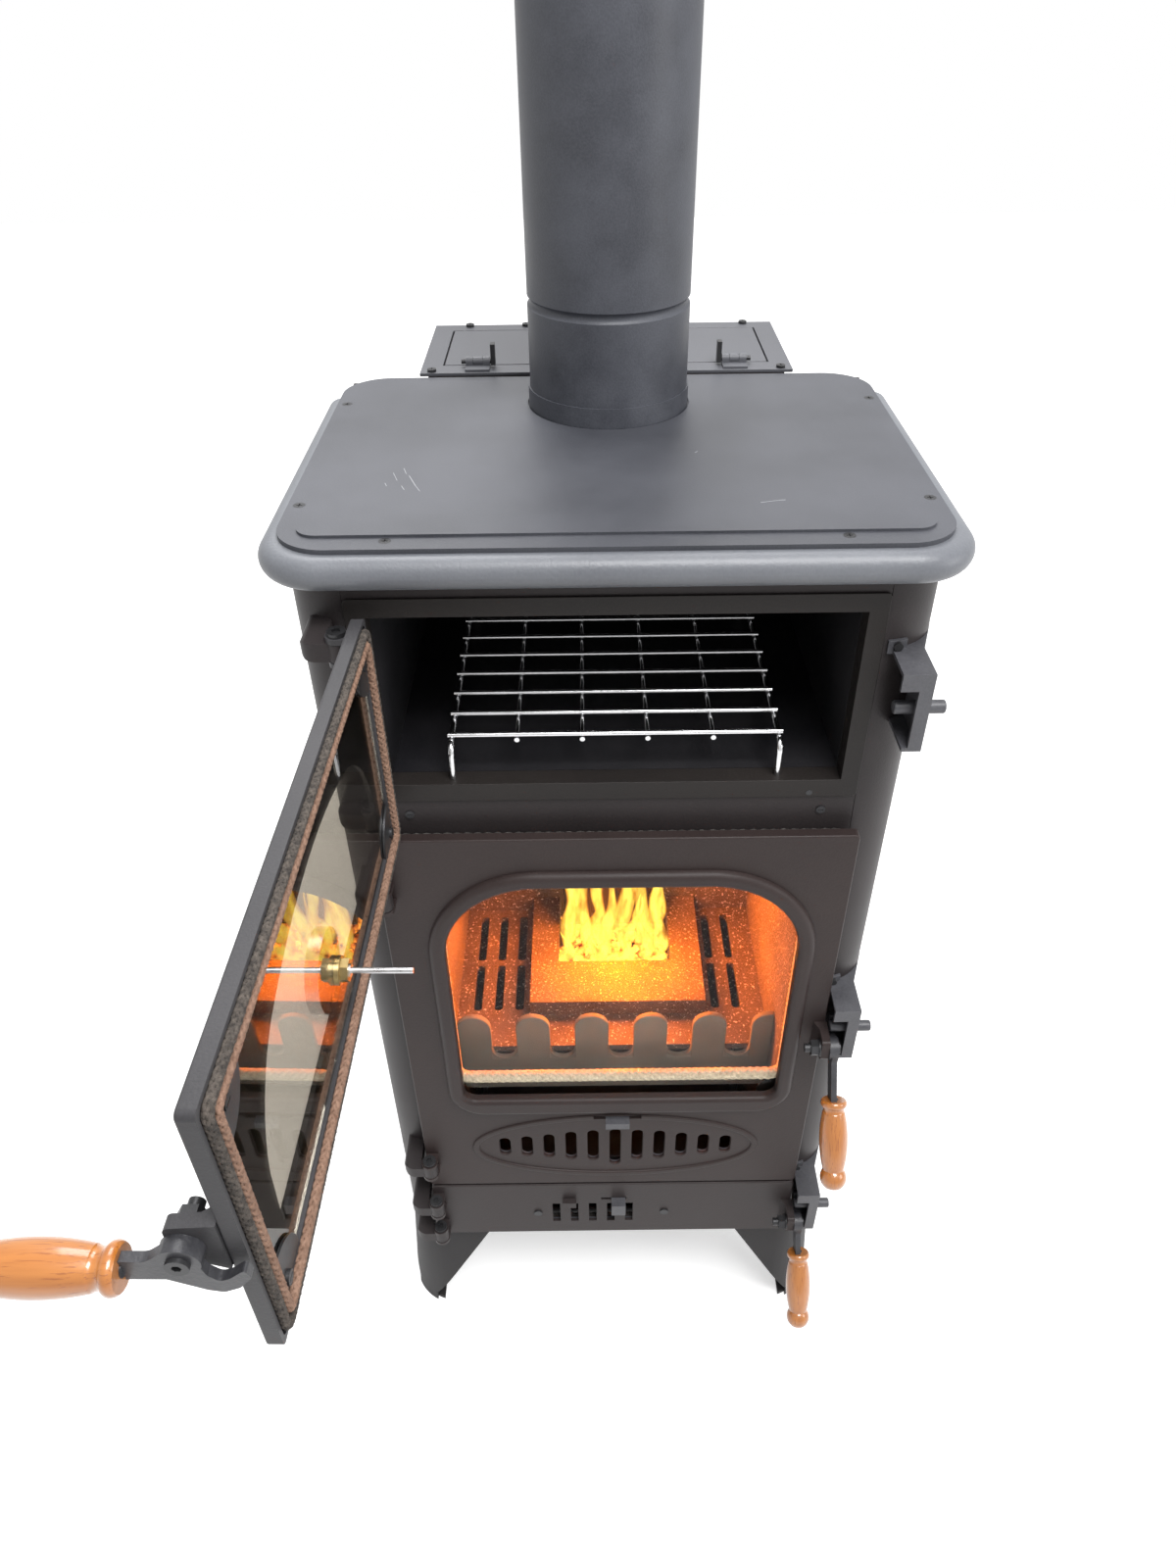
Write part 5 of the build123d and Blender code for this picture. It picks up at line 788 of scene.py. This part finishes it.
# The windows: ceramic glass, clipped behind each casting.
# The oven's is smoked brown; the fire's is nearly clear and reflects very little.
def window_glass(name, tint, bend):
    """Glass with a faintly uneven tint; the bend is how much it refracts."""
    material, tree, shader, place = base_material(name)
    smoke = spread(tree, noise(tree, place, 6.0, 2.0), 0.3, 0.7)
    smoked = (tint[0] * 0.97, tint[1] * 0.96, tint[2] * 0.95, 1.0)
    colour = blend_colours(tree, smoke, (*tint, 1.0), smoked)
    tree.links.new(colour, shader.inputs["Base Color"])
    shader.inputs["Roughness"].default_value = 0.0
    shader.inputs["IOR"].default_value = bend
    shader.inputs["Transmission Weight"].default_value = 1.0
    return material


finish(window_glass("oven_window_glass", tint=(0.46, 0.42, 0.35), bend=1.6), "oven_glass")
finish(window_glass("fire_window_glass", tint=(0.98, 0.96, 0.93), bend=1.14), "fire_glass")


# The thermometer: a steel dial outside the oven door, its probe through the glass.
# A brass nut clamps it; the dial is white enamel with a printed scale of degrees.
dial_steel = painted(
    "dial_steel",
    dark=(0.5, 0.5, 0.51),
    light=(0.62, 0.62, 0.63),
    rough=(0.25, 0.35),
    patch=90.0,
    grain=900.0,
    depth=0.00003,
    metallic=1.0,
)
brass = painted(
    "nut_brass",
    dark=(0.34, 0.25, 0.11),
    light=(0.48, 0.37, 0.18),
    rough=(0.25, 0.4),
    patch=90.0,
    grain=900.0,
    depth=0.00003,
    metallic=1.0,
)
finish(dial_steel, "thermometer")
finish(brass, "thermometer_nut")
hinge_x = -0.187
hinge_y = -0.193
open_turn = math.radians(-91.0)


def open_door_matrix():
    """From where the oven door is drawn shut to where it stands open."""
    there = Matrix.Translation((hinge_x, hinge_y, 0.0))
    return there @ Matrix.Rotation(open_turn, 4, "Z") @ there.inverted()


# The dial's own frame, on the door when it is drawn shut: Z points out of its face
dial_place = Matrix.Translation((0.0, -0.18975, 0.826))
dial_face = dial_place @ Matrix.Rotation(math.radians(90.0), 4, "X")
enamel = painted(
    "dial_enamel",
    dark=(0.72, 0.71, 0.68),
    light=(0.8, 0.79, 0.76),
    rough=(0.3, 0.4),
    patch=90.0,
    grain=900.0,
    depth=0.00002,
)
printed = painted(
    "dial_print",
    dark=(0.01, 0.01, 0.011),
    light=(0.02, 0.02, 0.021),
    rough=(0.5, 0.6),
    patch=90.0,
    grain=900.0,
    depth=0.00002,
)
disc = bmesh.new()
disc_radius = 0.0238
bmesh.ops.create_circle(disc, cap_ends=True, segments=72, radius=disc_radius, matrix=dial_face)
disc.transform(open_door_matrix())
add_piece(mesh_from(disc, "dial_disc"), "dial_disc", "oven_door", enamel)
scale_start = 225.0
scale_sweep = 270.0
scale_radius = 0.0215
number_radius = 0.0148
small_steps = 40
steps_to_number = 5
dial_numbers = ("0", "100", "200", "300", "400")
ticks = bmesh.new()
for i in range(small_steps + 1):
    angle = math.radians(scale_start - i * scale_sweep / small_steps)
    main_tick = i % steps_to_number == 0
    length = 0.0035 if main_tick else 0.0018
    width = 0.0005 if main_tick else 0.0003
    reach = Matrix.Translation((scale_radius - length / 2, 0.0, 0.0001))
    size = Matrix.Diagonal((length, width, 0.00006, 1.0))
    place = Matrix.Rotation(angle, 4, "Z") @ reach
    bmesh.ops.create_cube(ticks, size=1.0, matrix=dial_face @ place @ size)
needle = Matrix.Rotation(math.radians(205.0), 4, "Z") @ Matrix.Translation((0.0065, 0.0, 0.0005))
needle_size = Matrix.Diagonal((0.021, 0.0009, 0.0003, 1.0))
bmesh.ops.create_cube(ticks, size=1.0, matrix=dial_face @ needle @ needle_size)
hub = Matrix.Translation((0.0, 0.0, 0.0005))
bmesh.ops.create_cone(
    ticks,
    cap_ends=True,
    segments=24,
    radius1=0.002,
    radius2=0.0016,
    depth=0.001,
    matrix=dial_face @ hub,
)


def shaped(holder):
    """The mesh of a text or curve object, which is removed."""
    scene.collection.objects.link(holder)
    bpy.context.view_layer.update()
    shown = holder.evaluated_get(bpy.context.evaluated_depsgraph_get())
    mesh = bpy.data.meshes.new_from_object(shown)
    bpy.data.objects.remove(holder)
    return mesh


for i, label in enumerate(dial_numbers):
    angle = math.radians(scale_start - i * scale_sweep / (len(dial_numbers) - 1))
    text = bpy.data.curves.new("dial_number", "FONT")
    text.body = label
    text.size = 0.0042
    text.align_x = "CENTER"
    text.align_y = "CENTER"
    text.extrude = 0.00003
    number = shaped(bpy.data.objects.new("dial_number", text))
    spot = Matrix.Translation((number_radius * math.cos(angle), number_radius * math.sin(angle), 0.0001))
    number.transform(dial_face @ spot)
    ticks.from_mesh(number)
ticks.transform(open_door_matrix())
add_piece(mesh_from(ticks, "dial_scale"), "dial_scale", "oven_door", printed)


# The door seals: braided glass rope pressed into a channel round each door.
# The oven's is black with a copper-brown one inside it, and a pale one beds the fire's glass.
def ring_path(half, low, high, radius, step):
    """Points and outward directions, in X and Z, round a rounded rectangle; one loop."""
    corners = (
        (half - radius, high - radius, 0.0),
        (radius - half, high - radius, 90.0),
        (radius - half, low + radius, 180.0),
        (half - radius, low + radius, 270.0),
    )
    stations = []
    for number, (x, z, start) in enumerate(corners):
        for i in range(7):
            angle = math.radians(start + 15.0 * i)
            out = Vector((math.cos(angle), 0.0, math.sin(angle)))
            stations.append((Vector((x, 0.0, z)) + out * radius, out))
        next_x, next_z, next_start = corners[(number + 1) % 4]
        angle = math.radians(next_start)
        out = Vector((math.cos(angle), 0.0, math.sin(angle)))
        end = Vector((next_x, 0.0, next_z)) + out * radius
        begin = stations[-1][0]
        count = max(2, int((end - begin).length / step))
        for i in range(1, count):
            stations.append((begin.lerp(end, i / count), out))
    return stations


# Of a rope's radius: a strand's own radius, how far out it lies, how far it weaves, and its lay
strand_share = 0.42
strand_reach = 0.58
strand_weave = 0.07
lay_length = 6.5


def braided(name, stations, depth, radius, matrix, body, material, strands=4, foot=0.0):
    """A rope of strands that cross each other round a core; the foot squashes its lower run."""
    length = 0.0
    marks = [0.0]
    for first, second in zip(stations, stations[1:] + stations[:1]):
        length += (second[0] - first[0]).length
        marks.append(length)
    turns = round(length / (radius * lay_length))
    curve = bpy.data.curves.new(name, "CURVE")
    curve.dimensions = "3D"
    curve.bevel_depth = radius * strand_share
    curve.bevel_resolution = 1
    for way in (-1.0, 1.0):
        for strand in range(strands):
            line = curve.splines.new("POLY")
            line.points.add(len(stations) - 1)
            line.use_cyclic_u = True
            for i, (point, out) in enumerate(stations):
                angle = way * math.tau * (turns * marks[i] / length + strand / strands)
                weave = strand_weave * way * math.cos(strands * angle * way)
                lift = radius * (strand_reach + weave)
                wide = 1.0 + foot * max(0.0, -out.z)
                place = point + out * (lift * wide * math.cos(angle))
                place = place + Vector((0.0, depth + lift * math.sin(angle), 0.0))
                line.points[i].co = (*place, 1.0)
    core = curve.splines.new("POLY")
    core.points.add(len(stations) - 1)
    core.use_cyclic_u = True
    for i, (point, out) in enumerate(stations):
        core.points[i].co = (point.x, depth, point.z, 1.0)
        core.points[i].radius = 1.5
    mesh = shaped(bpy.data.objects.new(name, curve))
    mesh.transform(matrix)
    mesh.shade_smooth()
    return add_piece(mesh, name, body, material)


black_knit = painted(
    "black_knit",
    dark=(0.011, 0.009, 0.008),
    light=(0.125, 0.104, 0.088),
    rough=(0.85, 0.95),
    patch=260.0,
    grain=1600.0,
    depth=0.0004,
)
copper_knit = painted(
    "copper_knit",
    dark=(0.15, 0.08, 0.05),
    light=(0.33, 0.2, 0.14),
    rough=(0.7, 0.85),
    patch=260.0,
    grain=1600.0,
    depth=0.0004,
)
rope_knit = painted(
    "rope_knit",
    dark=(0.02, 0.019, 0.018),
    light=(0.09, 0.082, 0.075),
    rough=(0.85, 0.95),
    patch=200.0,
    grain=1600.0,
    depth=0.0004,
)
pale_knit = painted(
    "pale_knit",
    dark=(0.5, 0.43, 0.31),
    light=(0.74, 0.66, 0.5),
    rough=(0.85, 0.95),
    patch=200.0,
    grain=1600.0,
    depth=0.0004,
)
still = Matrix.Identity(4)
step = 0.0016
loop = ring_path(0.1858, 0.7712, 0.9508, 0.006, step)
swung = open_door_matrix()
piece = braided("oven_rope_outer", loop, -0.1728, 0.0029, swung, "oven_door", black_knit)
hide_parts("oven_door_rope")
loop = ring_path(0.1796, 0.7774, 0.9446, 0.005, step)
braided("oven_rope_inner", loop, -0.1724, 0.0032, swung, "oven_door", copper_knit)
loop = ring_path(0.1835, 0.2795, 0.7455, 0.006, step)
piece = braided("fire_rope", loop, -0.1709, 0.0050, still, "fire_door", rope_knit)
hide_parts("fire_door_rope")
loop = ring_path(0.1835, 0.1825, 0.2590, 0.006, step)
piece = braided("ash_rope", loop, -0.1709, 0.0050, still, "ash_door", rope_knit)
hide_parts("ash_door_rope")
loop = ring_path(0.1562, 0.4408, 0.7112, 0.012, step)
aside = Matrix.Translation((0.006, 0.0, 0.0))
piece = braided(
    "pale_rope", loop, -0.1711, 0.0052, aside, "fire_door", pale_knit, strands=5, foot=0.5
)
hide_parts("fire_glass_rope")


# The studio: a pale floor that keeps the stove's shadow, a white surround and three soft lamps.
# Only what the camera sees, glass passes on or gloss reflects is made whiter than it is lit.
def seen_directly(tree):
    """One for camera, glossy and transmission rays, and nought for the rest."""
    rays = tree.nodes.new("ShaderNodeLightPath").outputs
    seen = arithmetic(tree, "MAXIMUM", rays["Is Camera Ray"], rays["Is Glossy Ray"])
    return arithmetic(tree, "MAXIMUM", seen, rays["Is Transmission Ray"])


floor_shape = bmesh.new()
bmesh.ops.create_grid(floor_shape, x_segments=1, y_segments=1, size=6.0)
floor_mesh = mesh_from(floor_shape, "studio_floor")
floor = bpy.data.objects.new("studio_floor", floor_mesh)
scene.collection.objects.link(floor)
floor_material, tree, shader, place = base_material("pale_floor")
shader.inputs["Roughness"].default_value = 0.8
cloudy = spread(tree, noise(tree, place, 3.0, 2.0), 0.3, 0.7)
colour = blend_colours(tree, cloudy, (0.8, 0.8, 0.8, 1.0), (0.84, 0.84, 0.84, 1.0))
tree.links.new(colour, shader.inputs["Base Color"])
shader.inputs["Emission Color"].default_value = (1.0, 1.0, 1.0, 1.0)
far_off = tree.nodes.new("ShaderNodeVectorMath")
far_off.operation = "LENGTH"
tree.links.new(place, far_off.inputs[0])
brightness = spread(tree, far_off.outputs["Value"], 0.9, 2.6, to_low=0.55, to_high=1.0)
whitened = arithmetic(tree, "MULTIPLY", seen_directly(tree), brightness)
tree.links.new(whitened, shader.inputs["Emission Strength"])
floor_mesh.materials.append(floor_material)

world = bpy.data.worlds.new("surround")
world.use_nodes = True
scene.world = world
tree = world.node_tree
background = tree.nodes["Background"]
background.inputs["Color"].default_value = (1.0, 1.0, 1.0, 1.0)
strength = spread(tree, seen_directly(tree), 0.0, 1.0, to_low=0.32, to_high=1.0)
tree.links.new(strength, background.inputs["Strength"])


def soft_lamp(name, place, target, size, power):
    """A square lamp that looks at a target."""
    lamp_data = bpy.data.lights.new(name, "AREA")
    lamp_data.shape = "SQUARE"
    lamp_data.size = size
    lamp_data.energy = power
    lamp = bpy.data.objects.new(name, lamp_data)
    scene.collection.objects.link(lamp)
    lamp.location = place
    lamp.rotation_euler = (Vector(target) - Vector(place)).to_track_quat("-Z", "Y").to_euler()


soft_lamp("key_lamp", (0.5, -1.1, 3.1), target=(0.0, 0.0, 0.8), size=1.2, power=80.0)
soft_lamp("back_lamp", (-0.2, 1.1, 2.8), target=(0.0, -0.1, 0.9), size=1.4, power=45.0)
soft_lamp("side_lamp", (2.2, -0.9, 1.4), target=(0.0, 0.0, 0.6), size=1.0, power=14.0)
